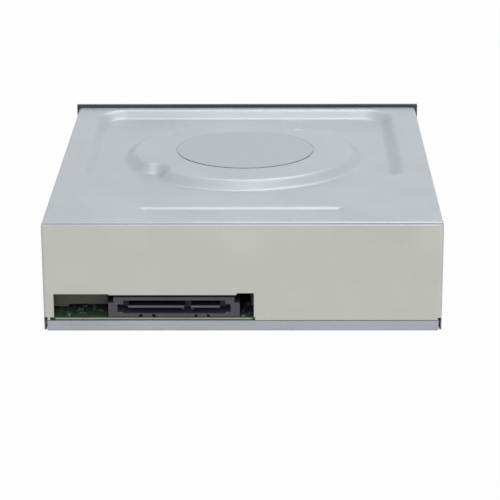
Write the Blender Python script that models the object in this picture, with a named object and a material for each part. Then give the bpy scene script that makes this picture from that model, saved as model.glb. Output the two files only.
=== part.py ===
"""Internal DVD writer for a half-height 5.25 inch bay.

Metres, +Z up. The front bezel faces -Y, the rear panel with its plug faces +Y, and the
plug is on the +X side. The origin is the centre of the bottom. The tray is in, and the
traverse, which carries the spindle and the pickup, hangs lowered so that the tray can
slide over it. The traverse is described level, as it lies when it is raised, and its
parent empty at the hinge turns it down.
"""

import math

import bmesh
import bpy
from mathutils import Matrix, Vector

# Fits and stock
GAP = 0.0003
SHEET = 0.0008
BEND_RADIUS = 0.0012
SCREW_RADIUS = 0.0012
SCREW_HOLE_RADIUS = 0.0015
SCREW_HEAD = 0.0012
SCREW_HEAD_RADIUS = 0.0026

# Disc and tray
DISC_RADIUS = 0.060
DISC_PLAY = 0.0008
SMALL_DISC_RADIUS = 0.0404
SMALL_RECESS = 0.0012
TRAY_RIM = 0.0032
TRAY_FRONT_WALL = 0.0042
TRAY_BACK = 0.0222
TRAY_Z = 0.0215
TRAY_PLATE = 0.0025
TRAY_RIM_HEIGHT = 0.005
TRAY_BACK_PLATE = 0.0049
TRAY_SLOT_WIDTH = 0.044
TRAY_SLOT_REACH = 0.065
TRAY_EYE_RADIUS = 0.019
TRAY_TRAVEL = 0.128
TRAY_END_PLAY = 0.004

# Chassis rails beside the tray
TRAY_SIDE_PLAY = 0.0006
RAIL_WEB = 0.002
RAIL_FLANGE = 0.0049
RAIL_LIP = 0.0015
RAIL_LIP_REACH = 0.0036
RAIL_LEDGE_REACH = 0.0051
RAIL_FOOT_Z = 0.0058
SHELF_HEIGHT = 0.0175
INNER_WALL = 0.002
INNER_WALL_REACH = 0.0141
INNER_WALL_Z = 0.006
CHASSIS_WALL = 0.002
PLUG_BAY = 0.011
SIDE_PLAY = 0.0007

# Case
CLAMPER_SPACE = 0.0052
BRIDGE_SHEET = 0.001
EMBOSS_DEPTH = 0.0032
EMBOSS_RUN = 0.005
EMBOSS_SIDE_BORDER = 0.0102
EMBOSS_FRONT_BORDER = 0.0031
EMBOSS_REACH = 0.038
EMBOSS_FAR_RADIUS = 0.013
EMBOSS_NEAR_RADIUS = 0.0065
EMBOSS_FILLET = 0.006
BULGE_RADIUS = 0.061
PLATEAU_RADIUS = 0.0445
PLATEAU_CORNER = 0.005
PLATEAU_FILLET = 0.006
NOTCH_X = 0.028
NOTCH_Y = 0.020
SEAL_RADIUS = 0.0274
SEAL_SHEET = 0.00025
SEAL_HOLE_RADIUS = 0.020
BEAD_LENGTH = 0.0725
BEAD_WIDTH = 0.006
BEAD_DEPTH = 0.0015
BEAD_X = 0.00125
BEAD_FROM_REAR = 0.018
WINDOW_LEFT = 0.0197
WINDOW_RIGHT = 0.005
WINDOW_ABOVE_PLUG = 0.0009
LIP_HEIGHT = 0.0042
SIDE_WALL_Z = 0.0002
MOUNT_FRONT = 0.0474
MOUNT_PITCH = 0.07925
MOUNT_BOTTOM_X = 0.06985
MOUNT_LOW_Z = 0.010
MOUNT_HIGH_Z = 0.02184
MOUNT_SIDE_RADIUS = 0.0016
MOUNT_BOTTOM_RADIUS = 0.0012

# Bezel, tray front, button and lamp
BEZEL_DEPTH = 0.005
BEZEL_SIDE = 0.001
BEZEL_ABOVE = 0.0011
BEZEL_FACE = 0.0024
BEZEL_WALL = 0.0018
BEZEL_ROUND = 0.0007
FRONT_SIDE = 0.001
FRONT_BELOW_TRAY = 0.004
FRONT_HEIGHT = 0.017
FRONT_WALL = 0.0018
FRONT_PLAY = 0.0004
BUTTON_FROM_SIDE = 0.013
BUTTON_Z = 0.0085
BUTTON_WIDTH = 0.010
BUTTON_HEIGHT = 0.006
BUTTON_TRAVEL = 0.0005
BUTTON_RIM = 0.001
LAMP_BESIDE_BUTTON = 0.0078
LAMP_WIDTH = 0.0024
LAMP_HEIGHT = 0.0016
PIN_HOLE_BESIDE_BUTTON = 0.017
PIN_HOLE_RADIUS = 0.0007
HOOK_Z = 0.027
HOOK_HEIGHT = 0.006
HOOK_LENGTH = 0.0055

# Main board and plug
BOARD_Z = 0.0034
BOARD_SHEET = 0.0016
BOARD_LENGTH = 0.059
BOARD_BESIDE_PLUG = 0.0091
BOARD_SCREW_INSET = 0.005
BOARD_SCREW_FROM_REAR = 0.006
PLUG_X = 0.0252
PLUG_WIDTH = 0.0482
PLUG_HEIGHT = 0.008
PLUG_DEPTH = 0.012
PLUG_INSET = 0.002
PLUG_SHOULDER = 0.0019
PLUG_SHOULDER_HEIGHT = 0.0027
CAVITY_DEPTH = 0.007
CAVITY_HEIGHT = 0.0047
TONGUE_THICK = 0.0012
POWER_TONGUE = 0.0206
DATA_TONGUE = 0.0106
TONGUE_GAP = 0.0024
KEY_WIDTH = 0.0012
KEY_DROP = 0.0009
CHIP_WIDTH = 0.018
CHIP_THICK = 0.0012
CHIP_FROM_PLUG = 0.0048
CHIP_FROM_FRONT = 0.025
DRIVER_WIDTH = 0.012
DRIVER_LENGTH = 0.010
DRIVER_FROM_LEFT = 0.016
DRIVER_FROM_FRONT = 0.036
CAN_RADIUS = 0.003
CAN_HEIGHT = 0.0052
CAN_FROM_WEB = 0.0086
CAN_FROM_FRONT = 0.022
RIBBON_FROM_LEFT = 0.019
RIBBON_WIDTH = 0.014
SOCKET_WIDTH = 0.018
SOCKET_LENGTH = 0.004
SOCKET_FROM_FRONT = 0.002
SOCKET_THICK = 0.0016

# Loading drive
GEAR_FROM_FRONT = 0.016
RACK_MODULE = 0.001
RACK_PINION_TEETH = 18
RACK_X = 0.054
RACK_HEIGHT = 0.0035
RACK_BODY = 0.0045
DRIVE_MODULE = 0.0008
DRIVE_WHEEL_TEETH = 32
DRIVE_PINION_TEETH = 12
GEAR_FACE = 0.003
GEAR_FLOOR_Z = 0.0055
GEAR_FLOOR = 0.0015
AXLE_RADIUS = 0.0022
MOTOR_RADIUS = 0.0115
MOTOR_Z = 0.0013
MOTOR_HEIGHT = 0.0111
MOTOR_X = -0.006
MOTOR_SHAFT_RADIUS = 0.001
PULLEY_RADIUS = 0.010
MOTOR_PULLEY_RADIUS = 0.002
PULLEY_FLANGE = 0.0012
BELT_Z = 0.0139
BELT_WIDTH = 0.001
BELT_THICK = 0.0009
FLANGE_THICK = 0.001

# Traverse, described level
TRAVERSE_DROP = 0.0082
HINGE_FROM_TRAY_REAR = 0.002
HINGE_BELOW_DECK = 0.007
HINGE_RADIUS = 0.0016
DECK_BELOW_TRAY = 0.0025
DECK_SHEET = 0.0012
FRAME_PLAY = 0.002
FRAME_WALL = 0.003
FRAME_RIM = 0.0035
FRAME_FRONT_REACH = 0.027
FRAME_DEPTH = 0.005
FRAME_BELOW_DECK = 0.0055
FRAME_TAB = 0.008
FRAME_TAB_THICK = 0.0015
DECK_PLAY = 0.001
DAMPER_RADIUS = 0.0036
PICKUP_SIDE_PLAY = 0.0015
OPENING_FRONT = 0.0106
OPENING_LENGTH = 0.0618
SLIDER_THICK = 0.0032
SLIDER_TRAVEL = 0.014
SLIDER_END = 0.016
SLIDER_Z = 0.002
SLOT_PLAY = 0.0007
CAM_PIN_RADIUS = 0.0015
CAM_PIN_Z = 0.016

# Spindle
DISC_LIFT = 0.0025
ROTOR_RADIUS = 0.0135
ROTOR_WALL = 0.0008
ROTOR_HEIGHT = 0.0056
TURNTABLE_RADIUS = 0.0155
GRIP_HEIGHT = 0.0008
CONE_RADIUS = 0.0074
CONE_HEIGHT = 0.0027
SHAFT_RADIUS = 0.0015
MOTOR_PLATE = 0.001
MOTOR_PLATE_HALF = 0.019
MOTOR_PLATE_REAR = 0.007

# Pickup
INNER_READ_RADIUS = 0.0225
PICKUP_TRAVEL = 0.037
PICKUP_FROM_FEED = 0.006
PICKUP_FRONT = 0.011
PICKUP_LENGTH = 0.024
PICKUP_HEIGHT = 0.008
PICKUP_ABOVE_DECK = 0.001
ROD_FROM_SIDE = 0.004
ROD_RADIUS = 0.0015
ROD_BELOW_DECK = 0.0023
LUG_LENGTH = 0.0045
LUG_WIDTH = 0.007
LENS_RADIUS = 0.0022
LENS_ABOVE_BODY = 0.0043
HOLDER_WIDTH = 0.014
HOLDER_LENGTH = 0.008
FEED_MOTOR_PLAY = 0.0035
FEED_NUT_REACH = 0.0022
FEED_BEARING_WIDTH = 0.006
FEED_BELOW_DECK = 0.0053
FEED_MOTOR_RADIUS = 0.005
FEED_MOTOR_LENGTH = 0.013

# Clamper
CLAMPER_RADIUS = 0.014
CLAMPER_FLANGE = 0.018
CLAMPER_LIFT = 0.0005
MAGNET_THICK = 0.0025
MAGNET_BORE = 0.005
CLAMPER_FLOOR = 0.0009
BRIDGE_HOLE_RADIUS = 0.016
BRIDGE_FRONT = 0.020
BRIDGE_LENGTH = 0.040
PEG_RADIUS = 0.0012
PEG_REACH = 0.0009

# Places that follow from the sizes
DISC_ROOM = DISC_RADIUS + DISC_PLAY
TRAY_HALF = DISC_ROOM + TRAY_RIM
WEB_X = TRAY_HALF + TRAY_SIDE_PLAY
FLANGE_X = WEB_X + RAIL_WEB + RAIL_FLANGE
CASE_INNER = FLANGE_X + SIDE_PLAY
CASE_HALF = CASE_INNER + SHEET
CASE_LENGTH = TRAY_FRONT_WALL + 2 * DISC_ROOM + TRAY_BACK + TRAY_END_PLAY + CHASSIS_WALL + PLUG_BAY
FRONT_Y = -(CASE_LENGTH + BEZEL_DEPTH) / 2
CASE_FRONT_Y = FRONT_Y + BEZEL_DEPTH
REAR_Y = CASE_FRONT_Y + CASE_LENGTH
SPINDLE_Y = CASE_FRONT_Y + TRAY_FRONT_WALL + DISC_ROOM
TRAY_REAR_Y = SPINDLE_Y + DISC_ROOM + TRAY_BACK
CHASSIS_REAR_Y = TRAY_REAR_Y + TRAY_END_PLAY + CHASSIS_WALL
CHASSIS_RAIL_Y = CASE_FRONT_Y + 0.007
COVER_FRONT_Y = FRONT_Y + BEZEL_FACE + GAP

DISC_Z = TRAY_Z + TRAY_PLATE
RIM_Z = DISC_Z + TRAY_RIM_HEIGHT
RAIL_TOP_Z = RIM_Z + GAP + RAIL_LIP
BRIDGE_Z = RAIL_TOP_Z + GAP
BRIDGE_TOP_Z = BRIDGE_Z + BRIDGE_SHEET
CASE_HEIGHT = BRIDGE_TOP_Z + CLAMPER_SPACE + SHEET + EMBOSS_DEPTH
BEZEL_HEIGHT = CASE_HEIGHT + BEZEL_ABOVE
BEZEL_HALF = CASE_HALF + BEZEL_SIDE
BUTTON_X = BEZEL_HALF - BUTTON_FROM_SIDE
LAMP_X = BUTTON_X - LAMP_BESIDE_BUTTON
PIN_HOLE_X = BUTTON_X - PIN_HOLE_BESIDE_BUTTON

BOARD_TOP_Z = BOARD_Z + BOARD_SHEET
PART_Z = BOARD_TOP_Z + GAP
PLUG_TOP_Z = PART_Z + PLUG_HEIGHT
PLUG_REAR_Y = REAR_Y - PLUG_INSET
WINDOW_Z = PLUG_TOP_Z + WINDOW_ABOVE_PLUG
WINDOW_X = (PLUG_X - PLUG_WIDTH / 2 - WINDOW_RIGHT, PLUG_X + PLUG_WIDTH / 2 + WINDOW_LEFT)
BOARD_LEFT_X = PLUG_X - PLUG_WIDTH / 2 - BOARD_BESIDE_PLUG
CHIP_X = PLUG_X + CHIP_FROM_PLUG
DRIVER_X = BOARD_LEFT_X + DRIVER_FROM_LEFT
RIBBON_X = BOARD_LEFT_X + RIBBON_FROM_LEFT
BOARD_REAR_Y = REAR_Y - SHEET - GAP
BOARD_FRONT_Y = BOARD_REAR_Y - BOARD_LENGTH

GEAR_Y = CASE_FRONT_Y + GEAR_FROM_FRONT
RACK_GEAR_RADIUS = RACK_MODULE * RACK_PINION_TEETH / 2
DRIVE_WHEEL_RADIUS = DRIVE_MODULE * DRIVE_WHEEL_TEETH / 2
DRIVE_PINION_RADIUS = DRIVE_MODULE * DRIVE_PINION_TEETH / 2
TRAY_GEAR_X = RACK_X - RACK_GEAR_RADIUS
PULLEY_X = TRAY_GEAR_X - DRIVE_WHEEL_RADIUS - DRIVE_PINION_RADIUS
FLOOR_TOP_Z = GEAR_FLOOR_Z + GEAR_FLOOR
WHEEL_Z = FLOOR_TOP_Z + 0.0004
MOTOR_Y = GEAR_Y - 0.001
BEAM_REAR_Y = CASE_FRONT_Y + 0.030

DECK_TOP_Z = TRAY_Z - DECK_BELOW_TRAY
DECK_Z = DECK_TOP_Z - DECK_SHEET
HINGE_Y = TRAY_REAR_Y - HINGE_FROM_TRAY_REAR
HINGE_Z = DECK_TOP_Z - HINGE_BELOW_DECK
DROP_ANGLE = math.asin(TRAVERSE_DROP / (HINGE_Y - SPINDLE_Y))
FRAME_FRONT_Y = SPINDLE_Y - FRAME_FRONT_REACH
FRAME_REAR_Y = HINGE_Y + 0.003
FRAME_Z = DECK_TOP_Z - FRAME_BELOW_DECK
FRAME_HALF_WIDTH = WEB_X - INNER_WALL_REACH - FRAME_PLAY
FRAME_INNER = FRAME_HALF_WIDTH - FRAME_WALL
FEED_X = FEED_MOTOR_RADIUS + FEED_MOTOR_PLAY - FRAME_INNER
PICKUP_HALF_WIDTH = -FEED_X - PICKUP_FROM_FEED
ROD_X = PICKUP_HALF_WIDTH - ROD_FROM_SIDE
OPENING_HALF_WIDTH = PICKUP_HALF_WIDTH + PICKUP_SIDE_PLAY
DAMPER_X = FRAME_INNER - 0.005
DAMPER_FRONT_Y = FRAME_FRONT_Y + FRAME_RIM + 0.004
DAMPER_REAR_Y = FRAME_REAR_Y - FRAME_RIM - 0.006
OPENING_Y = (SPINDLE_Y + OPENING_FRONT, SPINDLE_Y + OPENING_FRONT + OPENING_LENGTH)
SLIDER_REAR_Y = FRAME_FRONT_Y - 0.0025
SLIDER_FRONT_Y = SLIDER_REAR_Y - SLIDER_THICK

CLAMP_Z = DISC_Z + DISC_LIFT
TURNTABLE_TOP_Z = CLAMP_Z - GRIP_HEIGHT - GAP
TURNTABLE_Z = TURNTABLE_TOP_Z - 0.0013
ROTOR_TOP_Z = TURNTABLE_Z - GAP
ROTOR_Z = ROTOR_TOP_Z - ROTOR_HEIGHT
PLATE_TOP_Z = DECK_Z - GAP

PICKUP_TOP_Z = DECK_TOP_Z + PICKUP_ABOVE_DECK
PICKUP_Z = PICKUP_TOP_Z - PICKUP_HEIGHT
PICKUP_Y = (SPINDLE_Y + PICKUP_FRONT, SPINDLE_Y + PICKUP_FRONT + PICKUP_LENGTH)
LENS_Y = SPINDLE_Y + INNER_READ_RADIUS
ROD_Z = DECK_Z - ROD_BELOW_DECK
FEED_Z = DECK_Z - FEED_BELOW_DECK
FEED_MOTOR_Y = DAMPER_REAR_Y - DAMPER_RADIUS - FEED_MOTOR_LENGTH - 0.0014

# Facets
FINE = 48
ROUND = 24
SMALL = 12
TINY = 8


def finish(name, colour, roughness, metallic=0.0):
    """A Principled material of one colour."""
    material = bpy.data.materials.new(name)
    material.use_nodes = True
    shader = material.node_tree.nodes["Principled BSDF"]
    shader.inputs["Base Color"].default_value = (*colour, 1.0)
    shader.inputs["Roughness"].default_value = roughness
    shader.inputs["Metallic"].default_value = metallic
    return material


def about(centre, size):
    """The low and high of a length laid about its centre."""
    return (centre - size / 2, centre + size / 2)


def block(x, y, z):
    """A box between the low and high of each pair."""
    shape = bmesh.new()
    bmesh.ops.create_cube(shape, size=1.0)
    middle = Vector([(low + high) / 2 for low, high in (x, y, z)])
    spans = [high - low for low, high in (x, y, z)]
    matrix = Matrix.Translation(middle) @ Matrix.Diagonal((*spans, 1.0))
    bmesh.ops.transform(shape, matrix=matrix, verts=shape.verts)
    return shape


def cylinder(centre, radius, span, steps=SMALL, axis="Z"):
    """A cylinder along an axis; centre gives the other two coordinates in order."""
    shape = bmesh.new()
    bmesh.ops.create_cone(shape, cap_ends=True, segments=steps, radius1=radius, radius2=radius,
                          depth=span[1] - span[0])
    middle = (span[0] + span[1]) / 2
    if axis == "X":
        turn, place = Matrix.Rotation(math.pi / 2, 4, "Y"), (middle, *centre)
    elif axis == "Y":
        turn, place = Matrix.Rotation(math.pi / 2, 4, "X"), (centre[0], middle, centre[1])
    else:
        turn, place = Matrix.Identity(4), (*centre, middle)
    bmesh.ops.transform(shape, matrix=Matrix.Translation(place) @ turn, verts=shape.verts)
    return shape


def loft(rings):
    """A closed skin over rings of points that all have the same count."""
    shape = bmesh.new()
    loops = [[shape.verts.new(point) for point in ring] for ring in rings]
    count = len(loops[0])
    for low, high in zip(loops, loops[1:]):
        for i in range(count):
            j = (i + 1) % count
            shape.faces.new((low[i], low[j], high[j], high[i]))
    shape.faces.new(loops[0])
    shape.faces.new(loops[-1])
    bmesh.ops.recalc_face_normals(shape, faces=shape.faces)
    return shape


def prism(outline, z):
    """An outline of (x, y) points drawn up from the low to the high of z."""
    return loft([[(x, y, level) for x, y in outline] for level in z])


def prism_along_y(outline, y):
    """An outline of (x, z) points drawn from the low to the high of y."""
    return loft([[(x, level, z) for x, z in outline] for level in y])


def prism_along_x(outline, x):
    """An outline of (y, z) points drawn from the low to the high of x."""
    return loft([[(level, y, z) for y, z in outline] for level in x])


def turned(profile, centre=(0.0, 0.0), steps=ROUND):
    """A profile of (radius, z) points turned about an upright axis."""
    shape = bmesh.new()
    corners = [shape.verts.new((radius, 0.0, z)) for radius, z in profile]
    edges = [shape.edges.new(pair) for pair in zip(corners, corners[1:])]
    if min(radius for radius, _ in profile) > 0:
        edges.append(shape.edges.new((corners[-1], corners[0])))
    bmesh.ops.spin(shape, geom=corners + edges, axis=(0, 0, 1), cent=(0, 0, 0),
                   angle=math.tau, steps=steps, use_merge=True, use_duplicate=False)
    bmesh.ops.remove_doubles(shape, verts=shape.verts, dist=1e-6)
    bmesh.ops.recalc_face_normals(shape, faces=shape.faces)
    bmesh.ops.translate(shape, vec=(*centre, 0.0), verts=shape.verts)
    return shape


def soften(shape, chosen, width, segments=2):
    """Rounds the edges whose two ends both pass the chosen test."""
    edges = [edge for edge in shape.edges if all(chosen(v.co) for v in edge.verts)]
    bmesh.ops.bevel(shape, geom=edges, offset=width, offset_type="OFFSET", segments=segments,
                    profile=0.5, affect="EDGES", material=-1, clamp_overlap=True)
    return shape


def mirrored(shape):
    """The same shape on the other side of the middle plane."""
    other = shape.copy()
    bmesh.ops.scale(other, vec=(-1, 1, 1), verts=other.verts)
    bmesh.ops.reverse_faces(other, faces=other.faces)
    return other


def together(*shapes):
    """One mesh of several shapes that don't meet."""
    joined = bmesh.new()
    for shape in shapes:
        mesh = bpy.data.meshes.new("shape")
        shape.to_mesh(mesh)
        shape.free()
        joined.from_mesh(mesh)
        bpy.data.meshes.remove(mesh)
    return joined


def both_sides(shape):
    """The shape and its mirror image as one mesh."""
    return together(shape.copy(), mirrored(shape))


def add_object(name, shape, parent=None, at=(0.0, 0.0, 0.0)):
    """Puts a shape into the scene under a parent."""
    mesh = bpy.data.meshes.new(name)
    shape.to_mesh(mesh)
    shape.free()
    mesh.shade_smooth()
    mesh.set_sharp_from_angle(angle=math.radians(35))
    piece = bpy.data.objects.new(name, mesh)
    bpy.context.scene.collection.objects.link(piece)
    piece.parent = parent
    piece.location = at
    return piece


def add_piece(name, shape, material, parent=None, at=(0.0, 0.0, 0.0)):
    """A named piece of the drive with its material."""
    piece = add_object(name, shape, parent, at)
    piece.data.materials.append(material)
    return piece


def add_tool(piece, shape, operation):
    """Cuts a shape out of a piece, or joins it on, by a Boolean modifier."""
    tool = add_object(piece.name + "_tool", shape, parent=piece)
    tool.hide_render = True
    tool.display_type = "WIRE"
    change = piece.modifiers.new(operation.lower(), "BOOLEAN")
    change.operation = operation
    change.solver = "EXACT"
    change.object = tool


def cut(piece, *shapes):
    """Cuts each shape out of the piece."""
    for shape in shapes:
        add_tool(piece, shape, "DIFFERENCE")


def fuse(piece, *shapes):
    """Joins each shape to the piece."""
    for shape in shapes:
        add_tool(piece, shape, "UNION")


def add_empty(name, location, parent=None):
    """An empty that pieces hang on."""
    empty = bpy.data.objects.new(name, None)
    bpy.context.scene.collection.objects.link(empty)
    empty.parent = parent
    empty.location = location
    return empty


def arc(centre, radius, start, end, steps):
    """Points on an arc, both ends included, angles in degrees."""
    angles = [math.radians(start + (end - start) * i / steps) for i in range(steps + 1)]
    return [(centre[0] + radius * math.cos(a), centre[1] + radius * math.sin(a)) for a in angles]


def rounded_rectangle(x, y, radius, steps=4):
    """A rectangle outline with round corners."""
    outline = []
    corners = ((x[1], y[0], 270), (x[1], y[1], 0), (x[0], y[1], 90), (x[0], y[0], 180))
    for corner_x, corner_y, start in corners:
        centre_x = corner_x - math.copysign(radius, corner_x - sum(x) / 2)
        centre_y = corner_y - math.copysign(radius, corner_y - sum(y) / 2)
        outline += arc((centre_x, centre_y), radius, start, start + 90, steps)
    return outline


def gear(module, teeth, z, phase=0.0):
    """A spur gear with involute flanks; at phase 0 a tooth points along +X."""
    pitch = module * teeth / 2
    pressure = math.radians(20)
    half_tooth = (math.pi * module / 2 - 0.25 * module) / (2 * pitch)
    base = pitch * math.cos(pressure)
    levels = (pitch - 1.2 * module, pitch, pitch + 0.85 * module)

    def half_angle(radius):
        """Half the tooth's angle at a radius."""
        lean = math.acos(min(1.0, base / radius))
        return half_tooth + math.tan(pressure) - pressure - (math.tan(lean) - lean)

    outline = []
    for tooth in range(teeth):
        middle = phase + math.tau * tooth / teeth
        sides = [(radius, -half_angle(radius)) for radius in levels]
        sides += [(radius, half_angle(radius)) for radius in reversed(levels)]
        outline += [(r * math.cos(middle + a), r * math.sin(middle + a)) for r, a in sides]
    return prism(outline, z)


def wall_profile(steps=4):
    """How far an embossed wall has run and dropped, as shares, from its top to its foot."""
    shares = [i / steps for i in range(steps + 1)]
    return [(share, share * share * (3 - 2 * share)) for share in shares]


def recess_outline(inset):
    """The top cover's recess seen from above, drawn in by inset from its upper edge."""
    half = CASE_HALF - EMBOSS_SIDE_BORDER - inset
    front = COVER_FRONT_Y + EMBOSS_FRONT_BORDER + inset
    back = SPINDLE_Y + EMBOSS_REACH - inset
    far_radius = EMBOSS_FAR_RADIUS - inset
    near_radius = EMBOSS_NEAR_RADIUS - inset
    fillet = EMBOSS_FILLET + inset
    bulge = BULGE_RADIUS - inset
    rise = back + fillet - SPINDLE_Y
    fillet_x = math.sqrt((bulge + fillet) ** 2 - rise ** 2)
    angle = math.degrees(math.atan2(rise, fillet_x))
    points = arc((half - far_radius, front + far_radius), far_radius, 270, 360, 6)
    points += arc((half - near_radius, back - near_radius), near_radius, 0, 90, 4)
    points += arc((fillet_x, back + fillet), fillet, 270, 180 + angle, 4)
    points += arc((0.0, SPINDLE_Y), bulge, angle, 180 - angle, 18)[1:-1]
    points += arc((-fillet_x, back + fillet), fillet, 360 - angle, 270, 4)
    points += arc((near_radius - half, back - near_radius), near_radius, 90, 180, 4)
    points += arc((far_radius - half, front + far_radius), far_radius, 180, 270, 6)
    return points


def plateau_outline(growth):
    """The plateau inside the recess seen from above, grown from its upper edge."""
    radius = PLATEAU_RADIUS + growth
    corner = PLATEAU_CORNER + growth
    fillet = PLATEAU_FILLET - growth
    reach = PLATEAU_RADIUS - PLATEAU_CORNER
    low_y = NOTCH_Y - PLATEAU_CORNER
    low_x = math.sqrt(reach ** 2 - low_y ** 2)
    high_x = NOTCH_X - PLATEAU_CORNER
    high_y = math.sqrt(reach ** 2 - high_x ** 2)
    low_angle = math.degrees(math.atan2(low_y, low_x))
    high_angle = math.degrees(math.atan2(high_y, high_x))
    fillet_centre = (NOTCH_X + PLATEAU_FILLET, SPINDLE_Y + NOTCH_Y + PLATEAU_FILLET)
    points = arc((low_x, SPINDLE_Y + low_y), corner, low_angle, 90, 4)
    points += arc(fillet_centre, fillet, 270, 180, 4)
    points += arc((high_x, SPINDLE_Y + high_y), corner, 0, high_angle, 4)
    points += arc((0.0, SPINDLE_Y), radius, high_angle, 360 + low_angle, 32)[1:-1]
    return points


def bead_outline(inset):
    """The short rib near the rear of the top cover, drawn in by inset."""
    middle = REAR_Y - BEAD_FROM_REAR
    x = about(BEAD_X, BEAD_LENGTH - 2 * inset)
    y = about(middle, BEAD_WIDTH - 2 * inset)
    return rounded_rectangle(x, y, BEAD_WIDTH / 2 - inset - 0.0002)


def at_height(outline, z):
    """Outline points lifted to one height."""
    return [(x, y, z) for x, y in outline]


def emboss(piece, top):
    """Presses the recess, its plateau and the bead into a block whose top is at top."""
    above = top + 2 * EMBOSS_DEPTH
    rings = [at_height(recess_outline(0.0), above)]
    for run, drop in wall_profile():
        rings.append(at_height(recess_outline(EMBOSS_RUN * run), top - EMBOSS_DEPTH * drop))
    cut(piece, loft(rings))
    foot = top - EMBOSS_DEPTH - SHEET / 2
    rings = [at_height(plateau_outline(0.0), top)]
    for run, drop in wall_profile()[1:]:
        rings.append(at_height(plateau_outline(EMBOSS_RUN * run), top - EMBOSS_DEPTH * drop))
    rings.append(at_height(plateau_outline(EMBOSS_RUN), foot))
    fuse(piece, loft(rings))
    rings = [at_height(bead_outline(0.0), above)]
    for run, drop in wall_profile(2):
        rings.append(at_height(bead_outline(BEAD_DEPTH * run), top - BEAD_DEPTH * drop))
    cut(piece, loft(rings))


def cover_block(inset, low_z, front_y):
    """The cover's outer form, or its inner form when inset by the sheet."""
    half, rear, top = CASE_HALF - inset, REAR_Y - inset, CASE_HEIGHT - inset
    shape = block((-half, half), (front_y, rear), (low_z, top))

    def on_bend(point):
        """Whether a corner lies on a folded edge's end."""
        return point.z > top - GAP or point.y > rear - GAP

    def folded(edge):
        """Whether the sheet is folded along this edge."""
        first, second = (v.co for v in edge.verts)
        upright = abs(first.z - second.z) > GAP
        low = not upright and first.z < top - GAP
        across_front = first.y < rear - GAP and second.y < rear - GAP and abs(first.x - second.x) > GAP
        front_upright = upright and first.y < rear - GAP
        return on_bend(first) and on_bend(second) and not (low or across_front or front_upright)

    edges = [edge for edge in shape.edges if folded(edge)]
    bmesh.ops.bevel(shape, geom=edges, offset=BEND_RADIUS - inset, offset_type="OFFSET", segments=3,
                    profile=0.5, affect="EDGES", material=-1)
    return shape


def mount_places():
    """The front and rear fixing positions along Y."""
    first = CASE_FRONT_Y + MOUNT_FRONT
    return (first, first + MOUNT_PITCH)


def build_top_cover(steel):
    """The pressed top, side and rear walls in one sheet."""
    cover = add_piece("top_cover", cover_block(0.0, SIDE_WALL_Z, COVER_FRONT_Y), steel)
    emboss(cover, CASE_HEIGHT)
    inner = add_object("cover_inner", cover_block(SHEET, -SHEET, COVER_FRONT_Y - 2 * SHEET))
    inner.hide_render = True
    inner.display_type = "WIRE"
    emboss(inner, CASE_HEIGHT - SHEET)
    hollow = cover.modifiers.new("hollow", "BOOLEAN")
    hollow.operation = "DIFFERENCE"
    hollow.solver = "EXACT"
    hollow.object = inner
    rear = (REAR_Y - SHEET - GAP, REAR_Y + GAP)
    cut(cover, block(WINDOW_X, rear, (-SHEET, WINDOW_Z)))
    cut(cover, block((-CASE_INNER, CASE_INNER), rear, (-SHEET, LIP_HEIGHT + GAP)))
    seat = SEAL_RADIUS + GAP
    cut(cover, cylinder((0, SPINDLE_Y), seat, (CASE_HEIGHT - GAP, CASE_HEIGHT + GAP), FINE))
    cut(cover, cylinder((0, SPINDLE_Y), SEAL_HOLE_RADIUS, (CASE_HEIGHT - 2 * SHEET, CASE_HEIGHT), ROUND))
    across = (-CASE_HALF - SHEET, CASE_HALF + SHEET)
    holes = [cylinder((y, z), MOUNT_SIDE_RADIUS, across, TINY, "X")
             for y in mount_places() for z in (MOUNT_LOW_Z, MOUNT_HIGH_Z)]
    cut(cover, together(*holes))
    slot_y = (CASE_FRONT_Y + HOOK_LENGTH - 0.0035, CASE_FRONT_Y + HOOK_LENGTH + GAP)
    slot_z = about(HOOK_Z, HOOK_HEIGHT + 2 * GAP)
    cut(cover, both_sides(block((CASE_INNER - SHEET, across[1]), slot_y, slot_z)))
    seal = turned([(0, CASE_HEIGHT), (SEAL_RADIUS, CASE_HEIGHT),
                   (SEAL_RADIUS, CASE_HEIGHT + SEAL_SHEET), (0, CASE_HEIGHT + SEAL_SHEET)],
                  (0, SPINDLE_Y), FINE)
    add_piece("foil_seal", seal, finish("foil", (0.50, 0.53, 0.55), 0.35, 0.8))


def post_places():
    """Where the cover screws rise into the chassis posts."""
    x = WEB_X - 0.0061
    return [(sign * x, y) for sign in (-1, 1) for y in (CASE_FRONT_Y + 0.035, BOARD_FRONT_Y - 0.007)]


def board_screw_places():
    """Where the main board is screwed down, at two opposite corners."""
    inset = BOARD_SCREW_INSET
    return [(BOARD_LEFT_X + inset, BOARD_REAR_Y - BOARD_SCREW_FROM_REAR),
            (WEB_X - 0.0061, BOARD_FRONT_Y + inset)]


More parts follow.
